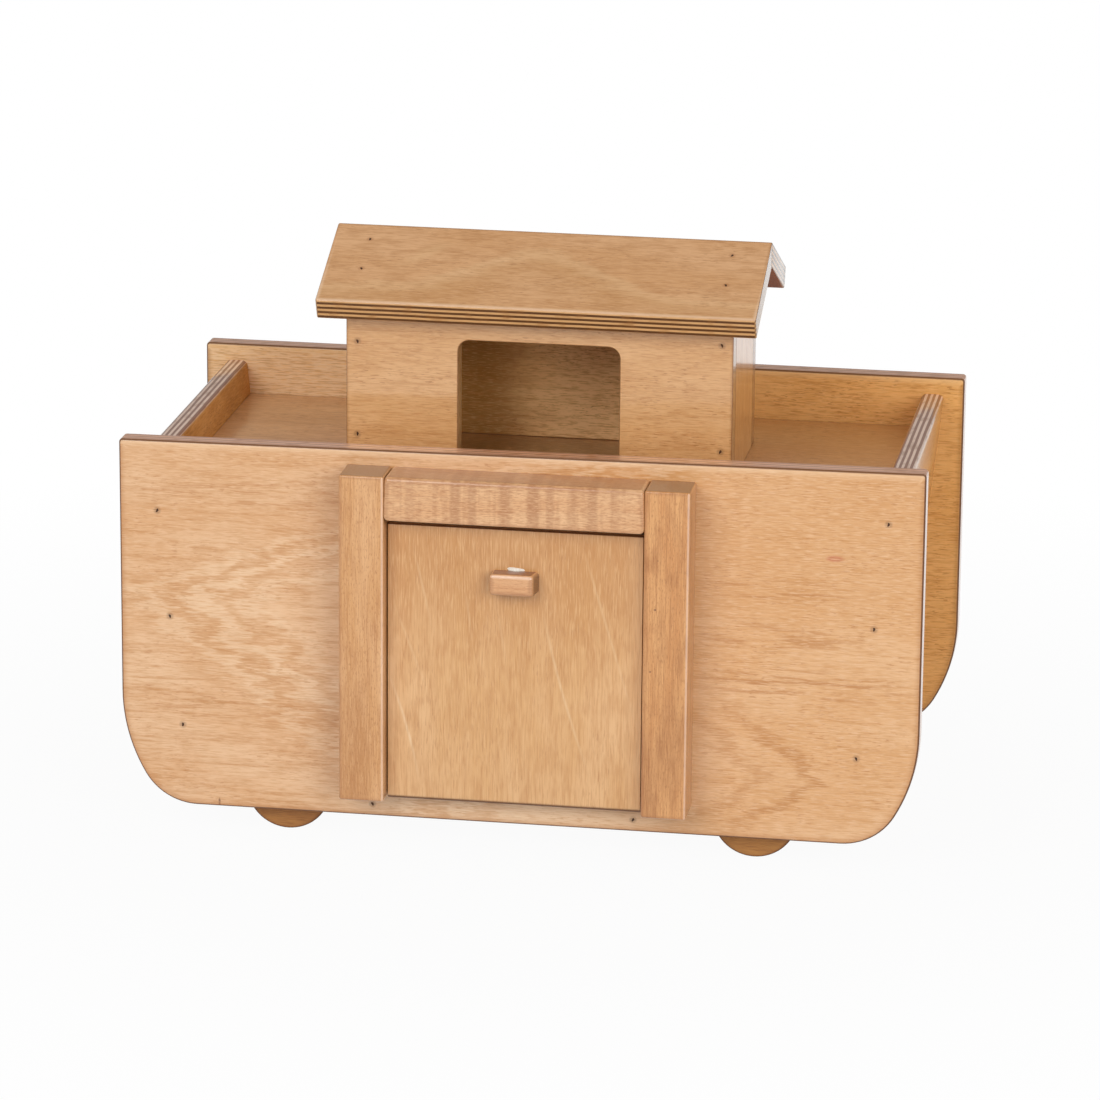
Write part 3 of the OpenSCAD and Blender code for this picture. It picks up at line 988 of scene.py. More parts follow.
@dataclass(frozen=True)
class Finishes:
    """The finishes of the ark, each named for its material and how it was made."""

    hull_front: Plywood = Plywood(
        "varnished_plywood_flame_figure", "#E8BD92", "#DDAA79", "#BD803F", "#AE6A26", ply_long="#F3B78D",
        # The pale colour given here is the painted highlight under the panel's top edge
        ply_end="#C18A6B", dashes=0.42, streaks=0.6, painted_highlight="#EFC9A0", figures=(
            # The first oval is painted shade: darker along the panel's top
            Mark(60, 215, 460, 120, "#CF9860", 0.3), Mark(150, 115, 230, 170, "#DDA565", 0.4),
            # The pale oval low in the middle is painted light against the door's shadow on the strip under it
            Mark(150, 200, 200, 90, "#CC9052", 0.3), Mark(-3, 20, 110, 11, "#F6D6B0", 0.6),
            Mark(135, 149, 52, 8, "#B4732F", 0.6, streaky=True),
            Mark(134, 124, 56, 10, "#B4732F", 0.6, streaky=True),
            Mark(150, 99, 76, 11, "#B4732F", 0.7, streaky=True),
            Mark(-130, 186, 100, 12, "#BC7F44", 0.5, streaky=True),
            Mark(-150, 70, 70, 12, "#BC7F44", 0.45, streaky=True),
            Chevron(-176, 130.5, 1, 0.36, 0.75, 30, 15.0, 46, 40, "#C78F58", 0.6),
            Chevron(-176, 130.5, 1, 0.36, 0.75, 30, 0.0, 40, 70, "#EFCDA6", 0.6),
            Chevron(161, 47, -1, 0.81, 0.6, 26, 0.0, 5, 56, "#BA7B38", 0.75, 4.0, 0.4, 64.0),
            Mark(164.4, 167.9, 6.0, 2.2, "#C06A40", 0.8), Mark(-158, 17, 0.8, 3.0, "#6E3F1B", 0.9)))
    hull_back: Plywood = Plywood(
        "varnished_plywood_hull", "#EDB877", "#E1A661", "#BC803F", "#A2682C", ply_long="#F3B78D",
        # The pale colour given here is the painted highlight under the panel's top edge
        ply_end="#C18A6B", painted_highlight="#F0C48C", dashes=0.6, streaks=0.6, fine=0.6, mottle=0.4, figures=(
            # Painted light: paler on the left half, and warm orange on the right half as bounced light
            Mark(-230, 150, 330, 400, "#F8D6AC", 0.75), Mark(230, 150, 330, 400, "#ECB064", 0.5)))
    end: Plywood = Plywood(
        "varnished_plywood_end_board", "#DA9F56", "#CA8A3C", "#A86824", "#8F561C", ply_long="#F2D0B8",
        ply_end="#966548", ply=1.43, line=0.2, cut=0.3, worn=0.0)
    deck: Plywood = Plywood(
        "varnished_plywood_deck", "#D6A16E", "#C8925E", "#A87645", "#8E5F33", dashes=0.8, streaks=0.6,
        # The dark oval is painted shade on the deck inside the cabin and close round its walls
        fine=0.6, figures=(Mark(0, 11, 90, 56, "#7C5212", 0.88, level=True),
                           Mark(190, 11, 190, 400, "#BE8340", 0.5, level=True)))
    floor: Plywood = Plywood(
        "varnished_plywood_floor", "#CF9C6B", "#C28E5C", "#A37344", "#8A5D33", dashes=0.3, streaks=0.35,
        on_solid=True)
    door: Plywood = Plywood(
        "varnished_plywood_upright", "#E2B37E", "#D8A56B", "#BE8449", "#AB703A", dashes=0.4, streaks=0.5,
        fine=0.5, light=0.55, mottle=0.35, length=1.6, figures=(
            # Painted shade darkens the top of the door under the lintel; the pale strip at its right edge is
            # painted light against the right post's shadow
            Mark(1.5, 196, 170, 110, "#B87832", 0.55), Mark(68, 100, 9, 500, "#EBB478", 0.45),
            Line(-52.2, 167.0, 46, 0.23, 0.0, 1.1, "#EFCFA2", 0.3),
            Line(-63.2, 138.0, 53, 0.38, 0.0, 1.1, "#EFCFA2", 0.25),
            Line(-65.3, 97.9, 60, 0.40, -0.002, 1.2, "#F4D9B0", 0.5),
            Line(15.8, 134.9, 92, 0.20, 0.001, 1.2, "#F2D5AA", 0.38),
            Line(34.6, 175.5, 104, 0.306, 0.0, 1.1, "#EFCFA2", 0.3),
            Line(-25.0, 145.5, 30, 0.14, 0.0, 1.1, "#EFCFA2", 0.2),
            Line(-8.2, 135.7, 30, 0.17, 0.0, 1.1, "#EFCFA2", 0.2)))
    cabin: Plywood = Plywood(
        "varnished_plywood_cabin", "#E0B17D", "#D6A36B", "#B98149", "#A26A36", ply_long="#E8BC84",
        ply_end="#B0804C", fine=0.5, line=0.5)
    cabin_back: Plywood = Plywood(
        "varnished_plywood_cabin_back", "#F2C285", "#E8B06E", "#B67A3C", "#945C24", dashes=0.5, streaks=0.7,
        fine=0.6, light=0.3, mottle=0.4, burn=0.1, line=0.4, length=0.7, figures=(
            # Painted shadow: the left jamb's cast shadow, dark on the inner face at the left, and painted
            # light on its right
            Mark(-70, 215, 60, 400, "#925E0E", 0.8, inside=True),
            Mark(45, 215, 80, 400, "#FFCE92", 0.8, inside=True)))
    gable: Plywood = Plywood("varnished_plywood_gable", "#F6BC7A", "#EBAB63", "#C48442", "#A9692E")
    roof: Plywood = Plywood(
        "varnished_plywood_roof", "#DDAA78", "#D29C66", "#B27940", "#9A6431", dashes=0.45, fine=0.5,
        ply_long="#E4B278", ply_end="#4A2608", mottle=0.35, ply=1.43, line=0.35, cut=0.6, worn=0.0,
        # Painted shade darkens the roof's underside, and a painted highlight runs along the eave
        inner=0.85, arris="#96520F", painted_highlight="#F2D2B0", burn=0.6, figures=(
            Arch(-4, 297, 14, 44, 3.0, 22.0, "#B5803F", 0.3),
            Arch(-4, 300, 14, 44, 2.2, 5.0, "#E6BE8C", 0.34),
            Line(-53.0, 302.7, 12, -2.16, 0.0, 9.0, "#E2B783", 0.35)))
    post_left: Beech = Beech(
        "varnished_beech_left_post", "#DEAA75", "#D29A60", "#B2763F", "#A46732", blotch=0.4, fine=0.45,
        flecks=0.45, figures=(Mark(-82, 55, 14, 60, "#B07438", 0.55),))
    post_right: Beech = Beech(
        "varnished_beech_right_post", "#DCA266", "#CC8D51", "#A5672F", "#9A5D28", blotch=0.6, fine=0.4,
        flecks=0.4, figures=(
            Mark(84, 68, 10, 42, "#A56A34", 0.5), Mark(70, 45, 10, 45, "#9E6430", 0.5),
            Mark(76.4, 168.2, 0.6, 0.6, "#8A5A30", 0.8), Mark(80.6, 156.8, 0.5, 0.5, "#9A6A40", 0.6),
            Mark(75.2, 142.1, 0.9, 0.8, "#5E2E18", 0.9), Mark(73.0, 108.9, 0.8, 0.7, "#6A3A1C", 0.8)))
    lintel: Beech = Beech(
        "varnished_beech_rippled", "#E4B585", "#DAA573", "#A86B3A", "#AC7044", fine=0.5, sides=0.55,
        length=0.3, ripple=0.28, figures=tuple(
            Mark(x, 192, half, rise, "#9C6236", strength) for x, half, rise, strength in (
                (-52, 3.75, 30, 0.24), (-28.7, 3.9, 60, 0.504), (-19.9, 3.0, 60, 0.48),
                (-2.8, 4.875, 34, 0.432), (11.7, 4.5, 40, 0.504), (20.5, 3.0, 28, 0.432),
                (31.5, 3.45, 26, 0.336), (42.1, 3.75, 60, 0.504), (54.0, 3.75, 30, 0.24))))
    handle: Beech = Beech(
        "varnished_beech_handle", "#E0AC7C", "#D69E6C", "#B97C4C", "#AA6D3B", fine=0.4, length=0.6, sides=1.0,
        arris="#8A4C1C")
    wheel: Plywood = Plywood(
        "varnished_plywood_wheel", "#B8803F", "#A46A33", "#865020", "#744218", coat=0.2, roughness=0.6)
    pin: Plain = Plain("drawn_steel_pin", "#9A948C", "#7E776F", 0.8, 0.35, 1.0)
    # Brad ends: the dark tone is partly the brad's end and partly painted shade of the sunk hole round it
    brad: Plain = Plain("brad_end_and_painted_hole_shade", "#34200F", "#553318", 0.7, 0.8)
    glue: Plain = Plain("dried_white_glue", "#F4EEE4", "#E3D8C8", 1.2, 0.35)


# Shift of the figure by a board's seed, along and across its grain, in metres
SEED_SHIFT = (1.7, 0.9)


@dataclass(frozen=True)
class Piece:
    """What a piece is called, what it rides on, the slot and solid that it stands for, and its grain."""

    name: str
    body: str
    slot: str | None = None
    node: str | None = None
    grain: Axis = Axis.ACROSS
    face: Axis = Axis.OUT
    seed: float = 0.0

    def build(self, surface: Surface, place: Place, finish: Finish) -> bpy.types.Object:
        """Make the mesh in the frame, with its grain and edge values, and put it on its body.

        The grain value is the distance along the grain, across it and in from the face, in metres. The seed
        shifts the first two, so that no two boards share their figure. The edge value is the turn of the
        normal away from the face, as a share of a right angle, how far an edge looks along the grain, and
        how near a point of the face lies to the edge.

        Args:
            surface: The shape in the outline's axes.
            place: Where the outline sits.
            finish: Its finish.

        Returns:
            The new object.
        """
        mesh = bpy.data.meshes.new(self.name)
        mesh.from_pydata(((place.origin + place.turn(surface.points)) * MM).tolist(), [], surface.faces)
        mesh.polygons.foreach_set("use_smooth", np.ones(len(mesh.polygons), bool))
        mesh.normals_split_custom_set_from_vertices(place.turn(surface.normals).tolist())
        along, face = self.grain.value, self.face.value
        local = surface.points * MM
        grain = local[:, [along, 3 - along - face, face]]
        grain[:, :2] += self.seed * np.array(SEED_SHIFT)
        grain[:, 2] = np.abs(grain[:, 2])
        square = np.clip(np.abs(surface.normals[:, face]), 0, 1)
        facing = np.abs(surface.normals[:, along]) / np.maximum(np.sqrt(1 - square ** 2), LEAST_TILT)
        near = surface.near if self.face is Axis.OUT else np.zeros_like(facing)
        edge = np.stack([np.arccos(square) / (math.pi / 2), facing, near], axis=1)
        for name, values in (("grain", grain), ("edge", edge)):
            attribute = mesh.attributes.new(name, "FLOAT_VECTOR", "POINT")
            attribute.data.foreach_set("vector", values.astype(np.float32).ravel())
        mesh.materials.append(coat(finish))
        obj = bpy.data.objects.new(self.name, mesh)
        bpy.context.scene.collection.objects.link(obj)
        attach(obj, self.body)
        if self.node:
            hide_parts(self.node)
        return obj


def dress(node: str, finish: Finish) -> bpy.types.Object:
    """Give a solid of the frame a finish, keep its shape, and return its object."""
    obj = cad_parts[node]
    for slot in obj.material_slots:
        slot.material = coat(finish)
    return obj


@dataclass(frozen=True)
class Hull:
    """Side panels, leaning end boards, deck and floor; sizes in millimetres and degrees."""

    finishes: Finishes
    sweep_r: float = 90.0
    heel_r: float = 32.0
    sweep_angle: float = 30.0
    shoulder: float = 1.5
    rise: float = 2.8
    rake: float = END_RAKE
    lap_side: float = 5.0
    lap_foot: float = 4.0
    lap_top: float = 7.0
    opening_r: float = 1.6
    top_r: float = 2.0
    # How far below a side panel's top the painted highlight reaches
    painted_highlight_reach: float = 0.5
    arris: float = 1.5
    end_arris: float = 3.0
    butt: float = 0.3
    band: float = 3.0

    def side_outline(self, length: float, left: float, right: float) -> np.ndarray:
        """Outline of a side panel: a straight top, and lower corners that sweep in two arcs.

        Args:
            length: Length of the panel.
            left: Height of its left end.
            right: Height of its right end.

        Returns:
            The outline about the middle of its lower edge.
        """
        half, a = length / 2, self.sweep_angle
        reach = self.sweep_r - self.heel_r
        sweep = (half - self.sweep_r, self.heel_r + reach * math.sin(math.radians(a)))
        heel = (sweep[0] + reach * math.cos(math.radians(a)), self.heel_r)
        top, shoulder = half - self.top_r, self.top_r + self.shoulder
        return np.concatenate([
            arc(heel, self.heel_r, -90, -a, SWEEP_STEPS)[:-1],
            arc(sweep, self.sweep_r, -a, 0, SWEEP_STEPS), [[half, right - shoulder]],
            arc((top, right - self.top_r), self.top_r, 0, 90, CORNER_STEPS),
            arc((-top, left - self.top_r), self.top_r, 90, 180, CORNER_STEPS), [[-half, left - shoulder]],
            arc((-sweep[0], sweep[1]), self.sweep_r, 180, 180 + a, SWEEP_STEPS)[:-1],
            arc((-heel[0], heel[1]), self.heel_r, 180 + a, 270, SWEEP_STEPS)])

    def painted_highlight_top(self, surface: Surface, rise: float) -> Surface:
        """Paint a highlight along a side panel's top edge, which rises to the right."""
        x, up = surface.points[:, 0], surface.points[:, 1]
        top = up.max() - rise * (x.max() - x) / np.ptp(x)
        return painted_highlight_edge(surface, up > top - self.top_r - self.painted_highlight_reach)

    def build_sides(self) -> Objects:
        """Make the front panel, with the opening behind the door, and the back panel.

        Yields:
            Both panels.
        """
        low, _, (length, depth, height) = box_mm("side_panel_front")
        door_low, door_high, _ = box_mm("ramp_door")
        hole = rectangle((door_low[0] + self.lap_side, door_high[0] - self.lap_side),
                         (door_low[2] + self.lap_foot, door_high[2] - self.lap_top), self.opening_r)
        middle = hole.mean(0)
        outline = self.side_outline(length, height - self.rise, height) + [0, low[2]] - middle
        yield Piece("front_panel", "hull", "hull_plywood", "side_panel_front", seed=1.0).build(
            self.painted_highlight_top(framed_plate(outline, hole - middle, depth, self.arris, self.arris, band=self.band),
                          self.rise),
            upright(middle[0], low[1], middle[1]), self.finishes.hull_front)
        low, high, size = box_mm("side_panel_back")
        outline = self.side_outline(length, size[2], size[2])
        yield Piece("back_panel", "hull", "hull_plywood", "side_panel_back", seed=2.0).build(
            self.painted_highlight_top(plate(outline, depth, self.arris, self.arris, band=self.band), 0.0),
            upright(0, high[1], low[2], -X_AXIS), self.finishes.hull_back)

    def build_ends(self) -> Objects:
        """Make the end boards: a leaning section, level at top and foot, carried across the hull.

        Yields:
            Both boards.
        """
        lean = math.radians(self.rake)
        for side, name in ((-1, "left"), (1, "right")):
            low, high, size = box_mm(f"end_board_{name}")
            rise = size[2]
            foot_out = (high[0] if side > 0 else -low[0]) - rise * math.tan(lean)
            depth = (size[0] - rise * math.tan(lean)) * math.cos(lean)
            run, slip = rise / math.cos(lean), depth * math.tan(lean)
            inner = [[-side * depth, -slip], [-side * depth, run - slip]]
            outer = [[0.0, 0.0], [0.0, run]]
            left, right = (inner, outer) if side > 0 else (outer, inner)
            corners = np.array([left[0], right[0], right[1], left[1]])
            section = rounded(corners, [self.butt, self.butt, self.end_arris, self.end_arris])
            place = Place(np.array([side * foot_out, low[1], low[2]]),
                          np.array([math.cos(lean), 0, -side * math.sin(lean)]),
                          np.array([side * math.sin(lean), 0, math.cos(lean)]))
            piece = Piece(f"end_panel_{name}", "hull", "hull_plywood", f"end_board_{name}", Axis.OUT,
                          Axis.ACROSS, 4.0 + side)
            yield piece.build(plate(section, size[1], self.butt / 2, self.butt / 2), place, self.finishes.end)

    def build_deck(self) -> Objects:
        """Make the deck, whose ends lean with the end boards, and dress the floor's solid.

        Yields:
            Deck and floor.
        """
        low, high, (length, width, depth) = box_mm("deck_board")
        half_l, half_w = length / 2, width / 2
        cut_in = 1 - depth * math.tan(math.radians(self.rake)) / half_l
        front = rectangle((-half_l, half_l), (-half_w, half_w), self.butt + CORNER_SPARE)
        yield Piece("deck_panel", "hull", "deck_plywood", "deck_board", seed=6.0).build(
            plate(front, depth, self.butt, self.butt, front * [cut_in, 1]),
            Place(np.array([0, (low[1] + high[1]) / 2, high[2]]), X_AXIS, Y_AXIS), self.finishes.deck)
        yield dress("floor_board", self.finishes.floor)

    def build(self) -> Objects:
        """Make every board of the hull."""
        yield from self.build_sides()
        yield from self.build_ends()
        yield from self.build_deck()


@dataclass(frozen=True)
class DoorFrame:
    """The two posts and the lintel round the ramp door; sizes in millimetres."""

    finishes: Finishes
    post_arris: float = 1.2
    post_corner: float = 1.3
    lintel_arris: float = 2.4
    lintel_corner: float = 2.6
    foot_arris: float = 1.0
    back_arris: float = 0.3

    def build(self) -> Objects:
        """Make each stick of the frame: a rounded rectangle with a soft front arris.

        Yields:
            Both posts and the lintel.
        """
        sticks = (("door_post_left", Axis.UP, self.post_corner, self.post_arris, self.finishes.post_left),
                  ("door_post_right", Axis.UP, self.post_corner, self.post_arris, self.finishes.post_right),
                  ("door_lintel", Axis.ACROSS, self.lintel_corner, self.lintel_arris, self.finishes.lintel))
        for seed, (node, grain, corner, arris, finish) in enumerate(sticks):
            low, high, size = box_mm(node)
            outline = rectangle((low[0], high[0]), (low[2], high[2]), corner)
            arris = np.where(outline[:, 1] > low[2] + corner, arris, self.foot_arris)
            stick = plate(outline, size[1], arris, self.back_arris)
            if grain is Axis.UP:
                # Painted highlight along each post's right arris
                stick = painted_highlight_edge(stick, stick.points[:, 0] > high[0] - corner)
            piece = Piece(node.replace("door", "frame"), "hull", "beech", node, grain, seed=7.0 + seed)
            yield piece.build(stick, upright(0, low[1], 0), finish)


@dataclass(frozen=True)
class RampDoor:
    """The door that drops down as a ramp, its handle and a bead of glue; sizes in millimetres."""

    finishes: Finishes
    toe_r: float = 3.0
    heel_r: float = 7.5
    top_r: float = 0.8
    back_r: float = 1.0
    side_arris: float = 0.4
    # How far the board reaches beyond its solid at the left, where it nearly meets the post
    reach_left: float = 1.0
    handle_corner: float = 2.0
    handle_arris: float = 1.8
    handle_back_arris: float = 0.2
    handle_taper: tuple[float, float] = (0.2, 1.7)
    bead_half: tuple[float, float] = (4.4, 1.5)
    bead_height: float = 1.3
    bead_sunk: float = 0.3
    bead_up: float = 0.3
    bead_lumps: float = 0.18

    def build(self) -> Objects:
        """Make the door, a section carried across its width, then the handle and the glue above it.

        Yields:
            Door, handle and glue.
        """
        low, high, (width, depth, height) = box_mm("ramp_door")
        section = rectangle((0, depth), (0, height), [self.toe_r, self.heel_r, self.back_r, self.top_r])
        yield Piece("ramp_board", "ramp", "door_plywood", "ramp_door", Axis.UP, Axis.ACROSS, 11.0).build(
            plate(section, width + self.reach_left, self.side_arris, self.side_arris),
            upright(high[0], low[1], low[2], Y_AXIS), self.finishes.door)
        low, high, size = box_mm("ramp_handle")
        middle = (low[0] + high[0]) / 2
        front, back = (rectangle((low[0] + left, high[0] - right), (low[2], high[2]), self.handle_corner)
                       for left, right in (self.handle_taper, (0, 0)))
        block = plate(front, size[1], self.handle_arris, self.handle_back_arris, back)
        # Painted highlight along the handle's top arris
        block = painted_highlight_edge(block, block.points[:, 1] > high[2] - self.handle_corner)
        yield Piece("handle_block", "ramp", "beech", "ramp_handle", seed=12.0).build(
            block, upright(0, low[1], 0), self.finishes.handle)
        yield Piece("glue_bead", "ramp").build(
            caps([(middle, high[2] + self.bead_up)], self.bead_half, self.bead_height, self.bead_sunk,
                 self.bead_lumps),
            upright(0, high[1], 0), self.finishes.glue)


@dataclass(frozen=True)
class Cabin:
    """The cabin's four walls; sizes in millimetres and degrees."""

    finishes: Finishes
    roof_slope: float = ROOF_SLOPE
    doorway_w: float = 85.4
    doorway_h: float = 71.6
    doorway_r: float = 6.0
    arris: float = 0.7
    doorway_arris: float = 0.9
    gable_corner: float = 0.4
    gable_arris: float = 0.3

    def build_walls(self) -> Objects:
        """Make the long walls, their tops bevelled to the roof: the front one round its doorway.

        Yields:
            Both walls.
        """
        low, _, (length, depth, inner) = box_mm("cabin_wall_front")
        outer = inner - depth * math.tan(math.radians(self.roof_slope))
        half, gap, r = length / 2, self.doorway_w / 2, self.doorway_r
        corner = self.arris + CORNER_SPARE
        upper = rectangle((-half, half), (-outer, outer), corner)[2 * (CORNER_STEPS + 1):]
        wall = np.concatenate([[[half, 0.0]], upper, [[-half, 0.0]]])
        doorway = np.concatenate([
            [[gap, 0.0]], arc((gap - r, self.doorway_h - r), r, 0, 90, CORNER_STEPS),
            arc((r - gap, self.doorway_h - r), r, 90, 180, CORNER_STEPS), [[-gap, 0.0]]])
        yield Piece("cabin_front", "hull", "cabin_plywood", "cabin_wall_front", seed=13.0).build(
            framed_plate(wall, doorway, depth, self.arris, self.doorway_arris, False, inner / outer),
            upright(0, low[1], low[2]), self.finishes.cabin)
        low, high, _ = box_mm("cabin_wall_back")
        outline = rectangle((-half, half), (0, outer), corner)
        yield Piece("cabin_back", "hull", "cabin_plywood", "cabin_wall_back", seed=14.0).build(
            plate(outline, depth, self.arris, self.arris, outline * [1, inner / outer]),
            upright(0, high[1], low[2], -X_AXIS), self.finishes.cabin_back)

    def build_gables(self) -> Objects:
        """Make the end walls: five-sided outlines under the roof's slopes.

        Yields:
            Both end walls.
        """
        for side, name in ((-1, "left"), (1, "right")):
            low, high, size = box_mm(f"cabin_gable_{name}")
            half, top = size[1] / 2, size[2]
            eave = top - half * math.tan(math.radians(self.roof_slope))
            corners = np.array([[-half, 0], [half, 0], [half, eave], [0, top], [-half, eave]])
            outline = rounded(corners, self.gable_corner)
            face = high[0] if side > 0 else low[0]
            piece = Piece(f"cabin_end_{name}", "hull", "cabin_plywood", f"cabin_gable_{name}", Axis.UP,
                          seed=15.5 + side / 2)
            place = upright(face, (low[1] + high[1]) / 2, low[2], side * Y_AXIS)
            board = plate(outline, size[0], self.gable_arris, self.gable_arris)
            yield piece.build(board, place, self.finishes.gable)

    def build(self) -> Objects:
        """Make all four walls."""
        yield from self.build_walls()
        yield from self.build_gables()


@dataclass(frozen=True)
class Roof:
    """The two roof panels, mitred at the ridge; sizes in millimetres and degrees."""

    finishes: Finishes
    slope: float = ROOF_SLOPE
    thick: float = 12.0
    eave_corner: float = 1.1
    ridge_corner: float = 1.1
    arris: float = 0.8
    ridge_arris: float = 0.3
    band: float = 1.6

    def place(self, side: int) -> Place:
        """Where a panel's upper face sits: its eave's middle, then along the eave and up the slope.

        Args:
            side: -1 for the front panel, 1 for the back one.

        Returns:
            The place.
        """
        low, high, size = box_mm("roof_panel_front" if side < 0 else "roof_panel_back")
        lean = math.radians(self.slope)
        eave = low[1] if side < 0 else high[1]
        drop = size[1] * math.tan(lean)
        return Place(np.array([0, eave, high[2] - drop]), -side * X_AXIS,
                     np.array([0, -side * math.cos(lean), math.sin(lean)]))

    def build(self) -> Objects:
        """Make both panels: the underside stops short of the ridge by thickness times tan(slope).

        Yields:
            Both panels.
        """
        lean = math.radians(self.slope)
        for side, name in ((-1, "front"), (1, "back")):
            size = box_mm(f"roof_panel_{name}")[2]
            half, run = size[0] / 2, size[1] / math.cos(lean)
            outline = rectangle((-half, half), (0, run), [self.eave_corner] * 2 + [self.ridge_corner] * 2)
            arris = np.where(outline[:, 1] > run - 2 * self.ridge_corner, self.ridge_arris, self.arris)
            board = plate(outline, self.thick, arris, arris,
                          outline * [1, 1 - self.thick * math.tan(lean) / run], self.band)
            # Painted highlight along the eave
            board = painted_highlight_edge(board, board.points[:, 1] < self.eave_corner + self.band)
            piece = Piece(f"roof_board_{name}", "hull", "roof_plywood", f"roof_panel_{name}",
                          seed=17.5 + side / 2)
            yield piece.build(board, self.place(side), self.finishes.roof)


@dataclass(frozen=True)
class RunningGear:
    """Four bored wheels, and the steel pins of wheels and ramp; sizes in millimetres."""

    finishes: Finishes
    bore_r: float = 2.55
    arris: float = 1.0
    bore_arris: float = 0.4
    steps: int = 72

    def build(self) -> Objects:
        """Make each wheel, a disc round its bore, and dress the pins' solids.

        Yields:
            Wheels and pins.
        """
        for seed, name in enumerate(("front_left", "front_right", "back_left", "back_right")):
            low, high, size = box_mm(f"wheel_{name}")
            middle = (low + high) / 2
            outline = arc((0, 0), size[2] / 2, 0, 360, self.steps)[:-1]
            bore = arc((0, 0), self.bore_r, 0, 360, self.steps)[:-1]
            piece = Piece(f"disc_{name}", f"wheel_{name}", "wheel_wood", f"wheel_{name}", seed=19.0 + seed)
            yield piece.build(framed_plate(outline, bore, size[1], self.arris, self.bore_arris),
                              upright(middle[0], low[1], middle[2]), self.finishes.wheel)
        for node in ("axle_pins", "ramp_hinge_pins"):
            yield dress(node, self.finishes.pin)


@dataclass(frozen=True)
class Brads:
    """Ends of the headless brads, level with the wood, dark with the brad's end and with painted shade of its
    hole; sizes in millimetres and degrees.
    """

    finishes: Finishes
    roof: Roof
    head: tuple[float, float] = (0.6, 1.05)
    proud: float = 0.06
    ragged: float = 0.15
    sunk: float = 0.3
    stain: float = 2.6
    stain_strength: float = 0.45
    rake: float = END_RAKE
    end_left: tuple[float, ...] = (58.5, 117.5, 174.5)
    end_right: tuple[float, ...] = (61.5, 131.5, 187.5)
    floor_x: tuple[float, float] = (-76.0, 62.0)
    gable_mid: float = 6.0
    cabin_left: tuple[float, float] = (18.5, 68.5)
    cabin_right: tuple[float, float] = (18.5, 75.5)
    roof_down: tuple[float, float] = (13.0, 39.0)
    deck_y: float = 62.0

    def heads(self, places: list[tuple[float, float]]) -> Surface:
        """Low dark caps at places on a face."""
        return caps(places, self.head, self.proud, self.sunk, self.ragged)

    def side_places(self) -> list[tuple[float, float]]:
        """X and Z of the side panels' brads: on the end boards' middle, and on the floor's."""
        lean = math.radians(self.rake)
        low, high, size = box_mm("end_board_right")
        floor_low, floor_high, _ = box_mm("floor_board")
        middle = (low[0] + high[0] - size[2] * math.tan(lean)) / 2
        at = [(side * (middle + (z - low[2]) * math.tan(lean)), z)
              for side, heights in ((-1, self.end_left), (1, self.end_right)) for z in heights]
        return at + [(x, (floor_low[2] + floor_high[2]) / 2) for x in self.floor_x]

    def cabin_places(self) -> list[tuple[float, float]]:
        """X and Z of the cabin walls' brads, on the middle of its end walls."""
        low, high, _ = box_mm("cabin_wall_front")
        x = high[0] - self.gable_mid
        return [(-x, low[2] + z) for z in self.cabin_left] + [(x, low[2] + z) for z in self.cabin_right]

    def roof_places(self) -> list[tuple[float, float]]:
        """X, and the way up the slope, of a roof panel's brads, on the middle of the cabin's end walls."""
        run = box_mm("roof_panel_front")[2][1] / math.cos(math.radians(self.roof.slope))
        x = box_mm("cabin_wall_front")[1][0] - self.gable_mid
        return [(s * x, run - down) for s in (-1, 1) for down in self.roof_down]

    def stained(self, finishes: Finishes) -> Finishes:
        """Lay a dark stain round each brad.

        Args:
            finishes: The finishes of the boards.

        Returns:
            The finishes with their stains.
        """
        sides, cabin = self.side_places(), self.cabin_places()
        eave, rise = self.roof.place(-1).origin[2], math.sin(math.radians(self.roof.slope))
        roof = [(x, eave + up * rise) for x, up in self.roof_places()]
        boards = {"hull_front": sides, "hull_back": sides, "cabin": cabin, "cabin_back": cabin, "roof": roof}
        fresh = {}
        for name, places in boards.items():
            finish = getattr(finishes, name)
            tall = self.stain * (rise if name == "roof" else 1)
            marks = tuple(Mark(x, z, self.stain, tall, finish.arris, self.stain_strength) for x, z in places)
            fresh[name] = replace(finish, figures=finish.figures + marks)
        return replace(finishes, **fresh)

    def on_both(self, brads: str, board: str,
                at: list[tuple[float, float]]) -> list[tuple[str, Surface, Place]]:
        """Heads on the outer faces of a front and a back board.

        Args:
            brads: Name of the brads, up to _front or _back.
            board: Name of the boards, up to _front or _back.
            at: X and Z of the brads.

        Returns:
            Node, surface and place of each set.
        """
        front, back = box_mm(f"{board}_front")[0][1], box_mm(f"{board}_back")[1][1]
        return [(f"{brads}_front", self.heads(at), upright(0, front, 0)),
                (f"{brads}_back", self.heads([(-x, z) for x, z in at]), upright(0, back, 0, -X_AXIS))]

    def in_roof(self) -> tuple[str, Surface, Place]:
        """Node, surface and place of the heads on both roof panels."""
        heads = self.heads(self.roof_places())
        return "roof_brads", joined([(heads, self.roof.place(side)) for side in (-1, 1)]), IN_FRAME

    def in_deck(self) -> tuple[str, Surface, Place]:
        """Node, surface and place of the heads on the end boards, on the middle of the deck's ends."""
        lean = math.radians(self.rake)
        low, high, _ = box_mm("end_board_right")
        deck_low, deck_high, _ = box_mm("deck_board")
        down = (high[2] - (deck_low[2] + deck_high[2]) / 2) / math.cos(lean)
        heads = self.heads([(y, -down) for y in (-self.deck_y, 0, self.deck_y)])
        parts = [(heads, Place(np.array([side * high[0], (low[1] + high[1]) / 2, high[2]]), side * Y_AXIS,
                               np.array([side * math.sin(lean), 0, math.cos(lean)]))) for side in (-1, 1)]
        return "deck_brads", joined(parts), IN_FRAME

